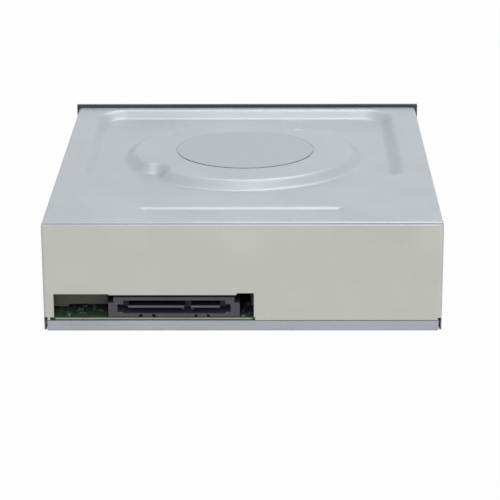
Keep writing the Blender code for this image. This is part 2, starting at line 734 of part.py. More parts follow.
def build_bottom_cover(steel):
    """The shallow bottom pan with its rear lip, screw cups and board posts."""
    half = CASE_INNER - GAP
    pan = block((-half, half), (COVER_FRONT_Y, REAR_Y), (0.0, LIP_HEIGHT))
    soften(pan, lambda p: p.y > REAR_Y - GAP and p.z < LIP_HEIGHT + GAP and abs(p.x) > half - GAP,
           SHEET, 2)
    cover = add_piece("bottom_cover", pan, steel)
    cut(cover, block((SHEET - half, half - SHEET), (COVER_FRONT_Y - SHEET, REAR_Y - SHEET),
                     (SHEET, LIP_HEIGHT + SHEET)))
    cup = SCREW_HEAD + SHEET
    for place in post_places():
        fuse(cover, cylinder(place, SCREW_HEAD_RADIUS + 2 * SHEET, (SHEET / 2, cup), SMALL))
    for place in post_places():
        cut(cover, cylinder(place, SCREW_HEAD_RADIUS + SHEET, (-SHEET, cup - SHEET), SMALL))
        cut(cover, cylinder(place, SCREW_HOLE_RADIUS, (0.0, cup + SHEET), TINY))
    for place in board_screw_places():
        fuse(cover, cylinder(place, SCREW_HOLE_RADIUS + 1.5 * SHEET, (SHEET / 2, BOARD_Z - GAP), SMALL))
        cut(cover, cylinder(place, SCREW_HOLE_RADIUS, (-SHEET, BOARD_Z), TINY))
    holes = [cylinder((sign * MOUNT_BOTTOM_X, y), MOUNT_BOTTOM_RADIUS, (-SHEET, 2 * SHEET), TINY)
             for sign in (-1, 1) for y in mount_places()]
    cut(cover, together(*holes))


def screw(place, head_z, length, upward):
    """A small screw; an upward one has its head below its shank."""
    head_end = head_z + SCREW_HEAD * 0.6
    reach = head_end + length if upward else head_z - length
    r, h = SCREW_RADIUS, SCREW_HEAD_RADIUS
    if upward:
        profile = [(0, head_z), (h, head_z), (h, head_end), (r, head_end), (r, reach), (0, reach)]
    else:
        profile = [(0, reach), (r, reach), (r, head_z), (h, head_z), (h, head_end), (0, head_end)]
    return turned(profile, place, SMALL)


def build_case_screws(zinc):
    """The screws that hold the bottom pan to the chassis."""
    low = SHEET / 4
    for number, place in enumerate(post_places(), 1):
        add_piece(f"cover_screw_{number}", screw((0, 0), low, 0.006, True), zinc, at=(*place, 0.0))


def build_bezel(plastic):
    """The front moulding: a face, a skirt inside the sheet, openings and two side hooks."""
    rim_y = FRONT_Y + BEZEL_FACE
    face = block((-BEZEL_HALF, BEZEL_HALF), (FRONT_Y, rim_y), (0.0, BEZEL_HEIGHT))
    soften(face, lambda p: p.y < FRONT_Y + GAP, BEZEL_ROUND)
    bezel = add_piece("front_bezel", face, plastic)
    wall = BEZEL_WALL
    back = CASE_FRONT_Y + SHEET
    skirt = CASE_INNER - SHEET - 2 * GAP
    skirt_z = (SHEET + GAP, CASE_HEIGHT - SHEET - GAP)
    fuse(bezel, block((-skirt, skirt), (rim_y - SHEET, CASE_FRONT_Y), skirt_z))
    cut(bezel, block((wall - skirt, skirt - wall), (rim_y, back), (skirt_z[0] + wall, skirt_z[1] - wall)))
    low = TRAY_Z - FRONT_BELOW_TRAY - FRONT_PLAY
    high = low + FRONT_HEIGHT + 2 * FRONT_PLAY
    wide = TRAY_HALF + FRONT_SIDE + FRONT_PLAY
    fuse(bezel, block((-wide - wall, wide + wall), (FRONT_Y + BEZEL_FACE - SHEET, CASE_FRONT_Y),
                      (low - wall, high + wall)))
    cut(bezel, block((-wide, wide), (FRONT_Y - SHEET, back), (low, high)))
    through = (FRONT_Y - SHEET, FRONT_Y + BEZEL_FACE + SHEET)
    cut(bezel, block(about(BUTTON_X, BUTTON_WIDTH + 2 * GAP), through,
                     about(BUTTON_Z, BUTTON_HEIGHT + 2 * GAP)))
    cut(bezel, block(about(LAMP_X, LAMP_WIDTH + 2 * GAP), through,
                     about(BUTTON_Z, LAMP_HEIGHT + 2 * GAP)))
    cut(bezel, cylinder((PIN_HOLE_X, BUTTON_Z), PIN_HOLE_RADIUS, through, TINY, "Y"))
    outer = CASE_INNER - GAP
    hook = block((outer - 0.0016, outer), (FRONT_Y + BEZEL_FACE - SHEET, CASE_FRONT_Y + HOOK_LENGTH),
                 about(HOOK_Z, HOOK_HEIGHT))
    fuse(bezel, both_sides(hook))
    barb_y = (CASE_FRONT_Y + HOOK_LENGTH - 0.0028, CASE_FRONT_Y + HOOK_LENGTH - GAP)
    barb = block((outer - SHEET, outer + SHEET), barb_y, about(HOOK_Z, HOOK_HEIGHT - 2 * GAP))
    fuse(bezel, both_sides(barb))


def build_tray(plastic):
    """The tray with its disc recesses, its slot and the rack below its +X side."""
    outline = rounded_rectangle((-TRAY_HALF, TRAY_HALF), (CASE_FRONT_Y, TRAY_REAR_Y), 0.003, 3)
    tray = add_piece("tray", prism(outline, (TRAY_Z, RIM_Z)), plastic)
    centre = (0.0, SPINDLE_Y)
    cut(tray, cylinder(centre, DISC_ROOM, (DISC_Z, RIM_Z + GAP), FINE))
    cut(tray, cylinder(centre, SMALL_DISC_RADIUS, (DISC_Z - SMALL_RECESS, RIM_Z), FINE))
    back = (SPINDLE_Y + DISC_ROOM * 0.75, TRAY_REAR_Y + GAP)
    inner = DISC_ROOM - 0.006
    cut(tray, block((-inner, inner), back, (TRAY_Z + TRAY_BACK_PLATE, RIM_Z + GAP)))
    slot = about(0.0, TRAY_SLOT_WIDTH)
    cut(tray, block(slot, (SPINDLE_Y, SPINDLE_Y + TRAY_SLOT_REACH), (TRAY_Z - GAP, RIM_Z)))
    cut(tray, cylinder(centre, TRAY_EYE_RADIUS, (TRAY_Z - GAP, RIM_Z + 2 * GAP), ROUND))
    fuse(tray, rack())
    front_z = TRAY_Z - FRONT_BELOW_TRAY
    wide = TRAY_HALF + FRONT_SIDE
    cap = block((-wide, wide), (FRONT_Y, CASE_FRONT_Y - GAP), (front_z, front_z + FRONT_HEIGHT))
    soften(cap, lambda p: p.y < FRONT_Y + GAP, BEZEL_ROUND / 2, 2)
    front = add_piece("tray_front", cap, plastic)
    wall = FRONT_WALL
    cut(front, block((wall - wide, wide - wall), (FRONT_Y + wall, CASE_FRONT_Y),
                     (front_z + wall, front_z + FRONT_HEIGHT - wall)))


def rack():
    """The toothed strip under the tray, its teeth facing -X."""
    pitch = math.pi * RACK_MODULE
    half = (pitch / 2 - 0.25 * RACK_MODULE) / 2
    tip, root = 0.85 * RACK_MODULE, 1.2 * RACK_MODULE
    lean = math.tan(math.radians(20))
    start, end = GEAR_Y - 0.005, TRAY_REAR_Y
    outline = []
    for tooth in range(math.floor((end - start) / pitch)):
        middle = GEAR_Y + (tooth - 1 + 0.5) * pitch
        outline += [(RACK_X + root, middle - half - root * lean), (RACK_X - tip, middle - half + tip * lean),
                    (RACK_X - tip, middle + half - tip * lean), (RACK_X + root, middle + half + root * lean)]
    first, last = outline[0][1], outline[-1][1]
    back = RACK_X + RACK_BODY
    outline += [(RACK_X + root, last + half), (back, last + half), (back, first - half), (RACK_X + root, first - half)]
    return prism(outline, (TRAY_Z - RACK_HEIGHT, TRAY_Z + GAP / 2))


def build_button(plastic, clear):
    """The eject button with its retaining rim, and the lamp's light guide."""
    face = block(about(BUTTON_X, BUTTON_WIDTH), (FRONT_Y, FRONT_Y + BEZEL_FACE + 2 * GAP),
                 about(BUTTON_Z, BUTTON_HEIGHT))
    soften(face, lambda p: p.y < FRONT_Y + GAP, BEZEL_ROUND / 2)
    button = add_piece("eject_button", face, plastic)
    rim = (FRONT_Y + BEZEL_FACE + GAP, FRONT_Y + BEZEL_FACE + GAP + BUTTON_RIM)
    fuse(button, block(about(BUTTON_X, BUTTON_WIDTH + 2 * BUTTON_RIM), rim,
                       about(BUTTON_Z, BUTTON_HEIGHT + 2 * BUTTON_RIM)))
    fuse(button, block(about(BUTTON_X, BUTTON_WIDTH / 2), (rim[0] + GAP, switch_front() - BUTTON_TRAVEL - GAP),
                       about(BUTTON_Z, BUTTON_HEIGHT / 2)))
    guide = block(about(LAMP_X, LAMP_WIDTH), (FRONT_Y, CASE_FRONT_Y + 0.0012), about(BUTTON_Z, LAMP_HEIGHT))
    add_piece("light_guide", guide, clear)


def switch_front():
    """Where the switch's plunger ends towards the button."""
    return CASE_FRONT_Y + 0.0037


def build_switch_board(board_green, black, white, clear):
    """The small front board with the eject switch and the lamp."""
    top = GEAR_FLOOR_Z - GAP
    board = block((LAMP_X - 0.0102, WEB_X - 2 * GAP), (CASE_FRONT_Y + 0.001, CASE_FRONT_Y + 0.016),
                  (top - SHEET * 1.5, top))
    add_piece("switch_board", board, board_green)
    body_y = (switch_front() + 0.0008, switch_front() + 0.0043)
    body = block(about(BUTTON_X, 0.006), body_y, (top + GAP, BUTTON_Z + 0.002))
    switch = add_piece("eject_switch", body, black)
    fuse(switch, cylinder((BUTTON_X, BUTTON_Z), 0.001, (switch_front(), body_y[0] + GAP), SMALL, "Y"))
    lamp = block(about(LAMP_X, LAMP_WIDTH), (CASE_FRONT_Y + 0.0015, CASE_FRONT_Y + 0.0038),
                 (top + GAP, BUTTON_Z + 0.001))
    add_piece("lamp", soften(lamp, lambda p: p.z > BUTTON_Z, GAP), white)


def rail_outline():
    """The chassis rail's section on the +X side, as (x, z) points."""
    web, flange = WEB_X, FLANGE_X
    outer = web + RAIL_WEB
    lip, ledge, shelf = web - RAIL_LIP_REACH, web - RAIL_LEDGE_REACH, web - INNER_WALL_REACH
    foot_top = RAIL_FOOT_Z + RAIL_LIP
    shelf_z = SHELF_HEIGHT - RAIL_LIP
    ledge_z = TRAY_Z - GAP
    lip_z = RIM_Z + GAP
    return [(flange, RAIL_FOOT_Z), (flange, foot_top), (outer, foot_top), (outer, shelf_z),
            (flange, shelf_z), (flange, SHELF_HEIGHT), (outer, SHELF_HEIGHT), (outer, lip_z),
            (flange, lip_z), (flange, RAIL_TOP_Z), (lip, RAIL_TOP_Z), (lip, lip_z),
            (web, lip_z), (web, ledge_z), (ledge, ledge_z), (ledge, ledge_z - RAIL_LIP),
            (web, ledge_z - RAIL_LIP), (web, SHELF_HEIGHT), (shelf, SHELF_HEIGHT), (shelf, shelf_z),
            (web, shelf_z), (web, RAIL_FOOT_Z)]


def bridge_peg_places():
    """Where the clamp bridge sits on the pegs of the rails."""
    return [(sign * (FLANGE_X - 0.003), SPINDLE_Y + y) for sign in (-1, 1) for y in (-0.015, 0.015)]


def build_chassis(plastic):
    """The moulded chassis: two rails, the gear floor, the rear wall and their posts."""
    rail = prism_along_y(rail_outline(), (CHASSIS_RAIL_Y, CHASSIS_REAR_Y))
    other = mirrored(rail)
    chassis = add_piece("main_chassis", rail, plastic)
    over = GAP
    wall_y = (CHASSIS_REAR_Y - CHASSIS_WALL, CHASSIS_REAR_Y)
    fuse(chassis, block((-WEB_X - over, WEB_X + over), wall_y, (RAIL_FOOT_Z + over, RAIL_TOP_Z - over)))
    fuse(chassis, other)
    floor_z = (GEAR_FLOOR_Z, FLOOR_TOP_Z)
    fuse(chassis, block((-WEB_X - over, LAMP_X - 0.0072), (CASE_FRONT_Y + 0.001, BEAM_REAR_Y), floor_z))
    fuse(chassis, block((LAMP_X - 0.008, WEB_X + over), (CASE_FRONT_Y + 0.014, BEAM_REAR_Y), floor_z))
    fuse(chassis, block((over - WEB_X, WEB_X - over), (BEAM_REAR_Y - 0.002, BEAM_REAR_Y),
                        (GEAR_FLOOR_Z - 0.004, FLOOR_TOP_Z - over)))
    wall_x = (WEB_X - INNER_WALL_REACH, WEB_X - INNER_WALL_REACH + INNER_WALL)
    wall = block(wall_x, (BEAM_REAR_Y + 0.007, CHASSIS_REAR_Y - over), (INNER_WALL_Z, SHELF_HEIGHT - over))
    fuse(chassis, both_sides(wall))
    posts = [cylinder(place, 0.003, (SCREW_HEAD + SHEET + GAP, SHELF_HEIGHT - RAIL_LIP / 2), SMALL)
             for place in post_places()]
    fuse(chassis, together(*posts))
    bores = [cylinder(place, SCREW_HOLE_RADIUS, (0.0, 0.009), TINY) for place in post_places()]
    cut(chassis, together(*bores))
    deck = SHELF_HEIGHT - RAIL_LIP / 2
    pegs = [cylinder(place, PEG_RADIUS, (RAIL_TOP_Z - RAIL_LIP / 2, BRIDGE_TOP_Z + PEG_REACH), TINY)
            for place in bridge_peg_places()]
    fuse(chassis, together(*pegs))
    fuse(chassis, cylinder((MOTOR_X, MOTOR_Y), MOTOR_RADIUS + 0.002, (GEAR_FLOOR_Z + over, FLOOR_TOP_Z + 0.003), ROUND))
    cut(chassis, cylinder((MOTOR_X, MOTOR_Y), MOTOR_RADIUS + GAP, (GEAR_FLOOR_Z - GAP, deck), ROUND))
    fuse(chassis, cylinder((TRAY_GEAR_X, GEAR_Y), AXLE_RADIUS, (FLOOR_TOP_Z - over, TRAY_Z - 2 * GAP), SMALL))
    fuse(chassis, cylinder((PULLEY_X, GEAR_Y), AXLE_RADIUS,
                           (FLOOR_TOP_Z - over, BELT_Z + BELT_WIDTH + FLANGE_THICK), SMALL))
    plug_left, plug_right = PLUG_X - PLUG_WIDTH / 2, PLUG_X + PLUG_WIDTH / 2
    through = (wall_y[0] - 0.002, wall_y[1] + GAP)
    cut(chassis, block((plug_left - 0.004, plug_right + 0.001), through, (0.0, PLUG_TOP_Z + 0.0009)))
    cut(chassis, block((plug_right - 0.001, WEB_X), through, (0.0, RAIL_FOOT_Z + 0.0037)))
    sockets = both_sides(cylinder((HINGE_Y, HINGE_Z), HINGE_RADIUS + 0.0004,
                                  (wall_x[0] - GAP, wall_x[1] + GAP), SMALL, "X"))
    cut(chassis, sockets)


def gear_bore(piece, z):
    """Bores a gear for its axle."""
    cut(piece, cylinder((0, 0), AXLE_RADIUS + GAP, z, SMALL))


def build_drive(cream, black, steel, rubber):
    """The loading motor, its belt, the pulley gear and the tray gear."""
    body = turned([(0, MOTOR_Z), (MOTOR_RADIUS, MOTOR_Z), (MOTOR_RADIUS, MOTOR_Z + MOTOR_HEIGHT),
                   (MOTOR_SHAFT_RADIUS, MOTOR_Z + MOTOR_HEIGHT),
                   (MOTOR_SHAFT_RADIUS, BELT_Z + BELT_WIDTH + 2 * FLANGE_THICK),
                   (0, BELT_Z + BELT_WIDTH + 2 * FLANGE_THICK)])
    add_piece("loading_motor", body, steel, at=(MOTOR_X, MOTOR_Y, 0.0))
    low, high = BELT_Z - GAP, BELT_Z + BELT_WIDTH + GAP
    rim = MOTOR_PULLEY_RADIUS + PULLEY_FLANGE
    bore = MOTOR_SHAFT_RADIUS + GAP
    seat = MOTOR_PULLEY_RADIUS
    pulley = turned([(bore, low - FLANGE_THICK), (rim, low - FLANGE_THICK), (rim, low), (seat, low), (seat, high),
                     (rim, high), (rim, high + FLANGE_THICK), (bore, high + FLANGE_THICK)], steps=SMALL)
    add_piece("motor_pulley", pulley, cream, at=(MOTOR_X, MOTOR_Y, 0.0))

    rim, seat = PULLEY_RADIUS + PULLEY_FLANGE, PULLEY_RADIUS
    bore = AXLE_RADIUS + GAP
    disc = turned([(bore, low - FLANGE_THICK), (rim, low - FLANGE_THICK), (rim, low), (seat, low), (seat, high),
                   (rim, high), (rim, high + FLANGE_THICK), (bore, high + FLANGE_THICK)])
    pinion_z = (WHEEL_Z, low - FLANGE_THICK / 2)
    pulley_gear = add_piece("pulley_gear", disc, cream, at=(PULLEY_X, GEAR_Y, 0.0))
    fuse(pulley_gear, gear(DRIVE_MODULE, DRIVE_PINION_TEETH, pinion_z, math.pi / DRIVE_PINION_TEETH))
    gear_bore(pulley_gear, (0.0, TRAY_Z))

    wheel = gear(DRIVE_MODULE, DRIVE_WHEEL_TEETH, (WHEEL_Z, WHEEL_Z + GEAR_FACE))
    tray_gear = add_piece("tray_gear", wheel, cream, at=(TRAY_GEAR_X, GEAR_Y, 0.0))
    pinion_top = TRAY_Z - 0.0004
    hub = (WHEEL_Z + GEAR_FACE / 2, pinion_top - GEAR_FACE / 2)
    fuse(tray_gear, cylinder((0, 0), RACK_GEAR_RADIUS / 2, hub, SMALL))
    fuse(tray_gear, gear(RACK_MODULE, RACK_PINION_TEETH, (pinion_top - GEAR_FACE, pinion_top)))
    gear_bore(tray_gear, (0.0, TRAY_Z))

    outer = belt_outline(BELT_THICK)
    belt = add_piece("drive_belt", prism(outer, (BELT_Z, BELT_Z + BELT_WIDTH)), rubber)
    cut(belt, prism(belt_outline(0.0), (BELT_Z - GAP, BELT_Z + BELT_WIDTH + GAP)))


def belt_outline(grow):
    """The belt's path round both pulleys, grown outwards."""
    small, large = MOTOR_PULLEY_RADIUS + GAP + grow, PULLEY_RADIUS + GAP + grow
    reach = math.hypot(PULLEY_X - MOTOR_X, GEAR_Y - MOTOR_Y)
    heading = math.degrees(math.atan2(GEAR_Y - MOTOR_Y, PULLEY_X - MOTOR_X))
    lean = math.degrees(math.acos((large - small) / reach))
    near = arc((MOTOR_X, MOTOR_Y), small, heading + 180 - lean, heading + 180 + lean, 8)
    far = arc((PULLEY_X, GEAR_Y), large, heading - (180 - lean), heading + 180 - lean, 20)
    return near + far


def cam_heights():
    """The height of the cam pin when the traverse is down and when it is up."""
    back = HINGE_Y - (SLIDER_FRONT_Y + SLIDER_REAR_Y) / 2
    up = CAM_PIN_Z - HINGE_Z
    down = up * math.cos(DROP_ANGLE) - back * math.sin(DROP_ANGLE)
    return (HINGE_Z + down, CAM_PIN_Z)


def build_cam_slider(plastic):
    """The cross slide whose slanting slot lifts the front of the traverse."""
    low, high = cam_heights()
    rise, run = high - low, SLIDER_TRAVEL
    slot_half = CAM_PIN_RADIUS + SLOT_PLAY
    top = high + slot_half + 0.0016
    plate = block((-run - SLIDER_END, SLIDER_END), (SLIDER_FRONT_Y, SLIDER_REAR_Y), (SLIDER_Z, top))
    slider = add_piece("cam_slider", plate, plastic)
    slope = math.atan2(rise, run)
    length = math.hypot(rise, run)
    slot = block(about(0.0, length + 2 * slot_half), (-SLIDER_THICK, SLIDER_THICK), about(0.0, 2 * slot_half))
    middle = (-run / 2, (SLIDER_FRONT_Y + SLIDER_REAR_Y) / 2, (low + high) / 2)
    matrix = Matrix.Translation(middle) @ Matrix.Rotation(slope, 4, "Y")
    bmesh.ops.transform(slot, matrix=matrix, verts=slot.verts)
    cut(slider, slot)


def build_lift_frame(plastic, hinge):
    """The frame that swings on the chassis and carries the traverse deck."""
    down = (0.0, -HINGE_Y, -HINGE_Z)
    half, inner = FRAME_HALF_WIDTH, FRAME_INNER
    z = (FRAME_Z, FRAME_Z + FRAME_DEPTH)
    frame = add_piece("lift_frame", block((-half, half), (FRAME_FRONT_Y, FRAME_REAR_Y), z), plastic, hinge, down)
    hole_y = (FRAME_FRONT_Y + FRAME_RIM, FRAME_REAR_Y - FRAME_RIM - 0.001)
    cut(frame, block((-inner, inner), hole_y, (FRAME_Z - GAP, z[1] + GAP)))
    tab_x = (inner - FRAME_TAB, inner + GAP)
    tab_z = (FRAME_Z, FRAME_Z + FRAME_TAB_THICK)
    fuse(frame, both_sides(block(tab_x, (hole_y[0] - GAP, hole_y[0] + FRAME_TAB), tab_z)))
    fuse(frame, both_sides(block(tab_x, (hole_y[1] - FRAME_TAB - 0.001, hole_y[1] + GAP), tab_z)))
    holes = [cylinder(place, SCREW_HOLE_RADIUS, (FRAME_Z - GAP, z[1]), TINY) for place in damper_places()]
    cut(frame, together(*holes))
    fuse(frame, both_sides(block((inner, half), about(HINGE_Y, 0.006), (HINGE_Z - 0.002, FRAME_Z + GAP))))
    pin_end = WEB_X - INNER_WALL_REACH + INNER_WALL - 2 * GAP
    fuse(frame, both_sides(cylinder((HINGE_Y, HINGE_Z), HINGE_RADIUS, (half - GAP, pin_end), SMALL, "X")))
    fuse(frame, cylinder((0.0, CAM_PIN_Z), CAM_PIN_RADIUS, (SLIDER_FRONT_Y + GAP, FRAME_FRONT_Y + GAP), SMALL, "Y"))


def damper_places():
    """The four rubber dampers' places on the traverse."""
    return [(sign * DAMPER_X, y) for sign in (-1, 1) for y in (DAMPER_FRONT_Y, DAMPER_REAR_Y)]


def build_deck(steel, rubber, zinc, hinge):
    """The traverse deck on its four dampers, with the lugs for the guide rods."""
    down = (0.0, -HINGE_Y, -HINGE_Z)
    half = FRAME_INNER - DECK_PLAY
    y = (FRAME_FRONT_Y + FRAME_RIM + DECK_PLAY, FRAME_REAR_Y - FRAME_RIM - 0.001 - DECK_PLAY)
    outline = rounded_rectangle((-half, half), y, 0.002, 3)
    deck = add_piece("traverse_deck", prism(outline, (DECK_Z, DECK_TOP_Z)), steel, hinge, down)
    over = (DECK_Z - GAP, DECK_TOP_Z + GAP)
    cut(deck, block((-OPENING_HALF_WIDTH, OPENING_HALF_WIDTH), OPENING_Y, over))
    cut(deck, cylinder((0.0, SPINDLE_Y), ROTOR_RADIUS + 0.0007, (over[0] - GAP, over[1] + GAP), ROUND))
    cut(deck, together(*[cylinder(p, SCREW_HOLE_RADIUS + GAP, over, TINY) for p in damper_places()]))
    lug_z = (ROD_Z - ROD_RADIUS - 0.001, DECK_Z + GAP)
    lugs = [both_sides(block(about(ROD_X, LUG_WIDTH), lug_y, lug_z)) for lug_y in rod_lugs()]
    fuse(deck, together(*lugs))
    bores = both_sides(cylinder((ROD_X, ROD_Z), ROD_RADIUS + GAP, (rod_lugs()[0][0] + 0.001, rod_lugs()[1][1] - 0.001),
                                SMALL, "Y"))
    cut(deck, bores)
    tab_top = FRAME_Z + FRAME_TAB_THICK
    length = DECK_TOP_Z - FRAME_Z
    for number, (x, y) in enumerate(damper_places(), 1):
        place = (x + down[0], y + down[1], down[2])
        ring = turned([(SCREW_HOLE_RADIUS, tab_top + GAP), (DAMPER_RADIUS, tab_top + GAP),
                       (DAMPER_RADIUS, DECK_Z - GAP), (SCREW_HOLE_RADIUS, DECK_Z - GAP)], steps=SMALL)
        add_piece(f"damper_{number}", ring, rubber, hinge, place)
        bolt = screw((0, 0), DECK_TOP_Z + GAP, length, False)
        add_piece(f"damper_screw_{number}", bolt, zinc, hinge, place)


def rod_lugs():
    """Where the lugs for the guide rods lie along Y, in front and behind."""
    front, back = OPENING_Y
    return ((front - GAP - LUG_LENGTH - 0.001, front - GAP), (back + GAP, back + GAP + LUG_LENGTH))


def build_rods(steel, hinge):
    """The two guide rods between the deck's lugs."""
    down = (0.0, -HINGE_Y, -HINGE_Z)
    front, back = rod_lugs()
    span = (front[0] + 0.0013, back[1] - 0.0013)
    for name, sign in (("guide_rod_left", -1), ("guide_rod_right", 1)):
        add_piece(name, cylinder((sign * ROD_X, ROD_Z), ROD_RADIUS, span, SMALL, "Y"), steel, hinge, down)


def build_spindle(steel, black, copper, rubber, hinge):
    """The spindle motor, its turntable, the friction ring and the centring cone."""
    axis = add_empty("spindle_axis", (0.0, SPINDLE_Y - HINGE_Y, -HINGE_Z), hinge)
    plate = MOTOR_PLATE_HALF
    outline = rounded_rectangle((-plate, plate), (-plate, MOTOR_PLATE_REAR), 0.002, 2)
    add_piece("spindle_plate", prism(outline, (PLATE_TOP_Z - MOTOR_PLATE, PLATE_TOP_Z)), steel, axis)
    inside = ROTOR_RADIUS - ROTOR_WALL
    ceiling = ROTOR_TOP_Z - ROTOR_WALL
    stator = turned([(SHAFT_RADIUS + 2 * GAP, DECK_Z), (inside - 2 * GAP, DECK_Z),
                     (inside - 2 * GAP, ceiling - GAP), (SHAFT_RADIUS + 2 * GAP, ceiling - GAP)])
    add_piece("stator", stator, copper, axis)
    rotor = turned([(0, DECK_Z + GAP / 3), (SHAFT_RADIUS, DECK_Z + GAP / 3), (SHAFT_RADIUS, ceiling),
                    (inside, ceiling), (inside, ROTOR_Z), (ROTOR_RADIUS, ROTOR_Z), (ROTOR_RADIUS, ROTOR_TOP_Z),
                    (0, ROTOR_TOP_Z)])
    add_piece("rotor", rotor, steel, axis)
    table = turned([(0, TURNTABLE_Z), (TURNTABLE_RADIUS, TURNTABLE_Z), (TURNTABLE_RADIUS, TURNTABLE_TOP_Z),
                    (0, TURNTABLE_TOP_Z)])
    add_piece("turntable", table, black, axis)
    grip = turned([(TURNTABLE_RADIUS - 0.0045, CLAMP_Z - GRIP_HEIGHT), (TURNTABLE_RADIUS - 0.0005, CLAMP_Z - GRIP_HEIGHT),
                   (TURNTABLE_RADIUS - 0.0005, CLAMP_Z), (TURNTABLE_RADIUS - 0.0045, CLAMP_Z)])
    add_piece("grip_ring", grip, rubber, axis)
    base = TURNTABLE_TOP_Z + GAP
    top = base + CONE_HEIGHT
    cone = turned([(0, base), (CONE_RADIUS, base), (CONE_RADIUS, base + CONE_HEIGHT / 2),
                   (CONE_RADIUS * 0.82, top - 0.0004), (CONE_RADIUS * 0.6, top), (0, top)])
    add_piece("centring_cone", cone, black, axis)


def build_pickup(metal, black, steel, glass, hinge):
    """The optical pickup on its rods, with its cover, lens holder and lens."""
    down = (0.0, -HINGE_Y, -HINGE_Z)
    half = PICKUP_HALF_WIDTH
    body = block((-half, half), PICKUP_Y, (PICKUP_Z, PICKUP_TOP_Z))
    soften(body, lambda p: True, 0.0005, 1)
    pickup = add_piece("pickup_body", body, metal, hinge, down)
    cut(pickup, cylinder((0.0, SPINDLE_Y), TURNTABLE_RADIUS - GAP, (PICKUP_Z - GAP, PICKUP_TOP_Z + GAP), ROUND))
    bore = ROD_RADIUS + 0.0004
    along = (PICKUP_Y[0] - GAP, PICKUP_Y[1] + GAP)
    cut(pickup, cylinder((-ROD_X, ROD_Z), bore, along, SMALL, "Y"))
    cut(pickup, block((ROD_X - bore, half + GAP), along, about(ROD_Z, 2 * bore)))
    pocket = about(0.0, TRAY_SLOT_WIDTH)
    holder_y = about(LENS_Y, HOLDER_LENGTH)
    cut(pickup, block(pocket, (holder_y[0] - 0.0006, PICKUP_Y[1] - 0.0025), (PICKUP_Z - GAP, PICKUP_TOP_Z - 0.0015)))
    holder_x = about(0.0, HOLDER_WIDTH)
    opening_x = about(0.0, HOLDER_WIDTH + 0.0012)
    opening_y = about(LENS_Y, HOLDER_LENGTH + 0.0012)
    cut(pickup, block(opening_x, opening_y, (PICKUP_TOP_Z - 0.0025, PICKUP_TOP_Z + GAP)))
    lid_x = about(0.0, TRAY_SLOT_WIDTH - 0.004)
    lid_y = (opening_y[0] - 0.0009, PICKUP_Y[1] - 0.001)
    lid = add_piece("pickup_cover", block(lid_x, lid_y, (PICKUP_TOP_Z + GAP, PICKUP_TOP_Z + 0.0007)), steel, hinge, down)
    cut(lid, block(opening_x, opening_y, (PICKUP_TOP_Z, PICKUP_TOP_Z + 0.001)))
    lens_z = PICKUP_TOP_Z + LENS_ABOVE_BODY
    holder = block(holder_x, holder_y, (PICKUP_TOP_Z - 0.0012, lens_z - 0.0018))
    holder = add_piece("lens_holder", soften(holder, lambda p: p.z > lens_z - 0.002, 0.0004, 1), black, hinge, down)
    cut(holder, cylinder((0.0, LENS_Y), LENS_RADIUS + GAP, (PICKUP_TOP_Z - 0.002, lens_z), SMALL))
    dome = [(LENS_RADIUS * math.cos(a), lens_z - 0.0012 + 0.0012 * math.sin(a))
            for a in (math.radians(18 * i) for i in range(5))]
    profile = [(0, lens_z - 0.0026), (LENS_RADIUS, lens_z - 0.0026)] + dome + [(0, lens_z)]
    add_piece("objective_lens", turned(profile, (0.0, LENS_Y), SMALL), glass, hinge, down)


def build_feed(steel, black, cream, hinge):
    """The feed motor, its lead screw with the front bearing, and the pickup's nut."""
    down = (0.0, -HINGE_Y, -HINGE_Z)
    motor_y = (FEED_MOTOR_Y, FEED_MOTOR_Y + FEED_MOTOR_LENGTH)
    add_piece("feed_motor", cylinder((FEED_X, FEED_Z), FEED_MOTOR_RADIUS, motor_y, 24, "Y"), steel, hinge, down)
    bearing_y = (OPENING_Y[0] - 0.0049, OPENING_Y[0] - 0.0019)
    screw_y = (bearing_y[0] + GAP, motor_y[0] - GAP)
    add_piece("lead_screw", cylinder((FEED_X, FEED_Z), ROD_RADIUS, screw_y, SMALL, "Y"), steel, hinge, down)
    bearing = block(about(FEED_X, FEED_BEARING_WIDTH), bearing_y, (FEED_Z - 0.0025, DECK_Z - GAP))
    bearing = add_piece("feed_bearing", bearing, black, hinge, down)
    cut(bearing, cylinder((FEED_X, FEED_Z), ROD_RADIUS + GAP, (bearing_y[0] - GAP, bearing_y[1] + GAP), SMALL, "Y"))
    nut_x = (FEED_X - FEED_NUT_REACH, -PICKUP_HALF_WIDTH - GAP)
    nut_y = (PICKUP_Y[0] + 0.0005, PICKUP_Y[0] + 0.0055)
    nut = add_piece("feed_nut", block(nut_x, nut_y, (FEED_Z - 0.0023, FEED_Z + 0.003)), cream, hinge, down)
    cut(nut, cylinder((FEED_X, FEED_Z), ROD_RADIUS + GAP, (nut_y[0] - GAP, nut_y[1] + GAP), SMALL, "Y"))


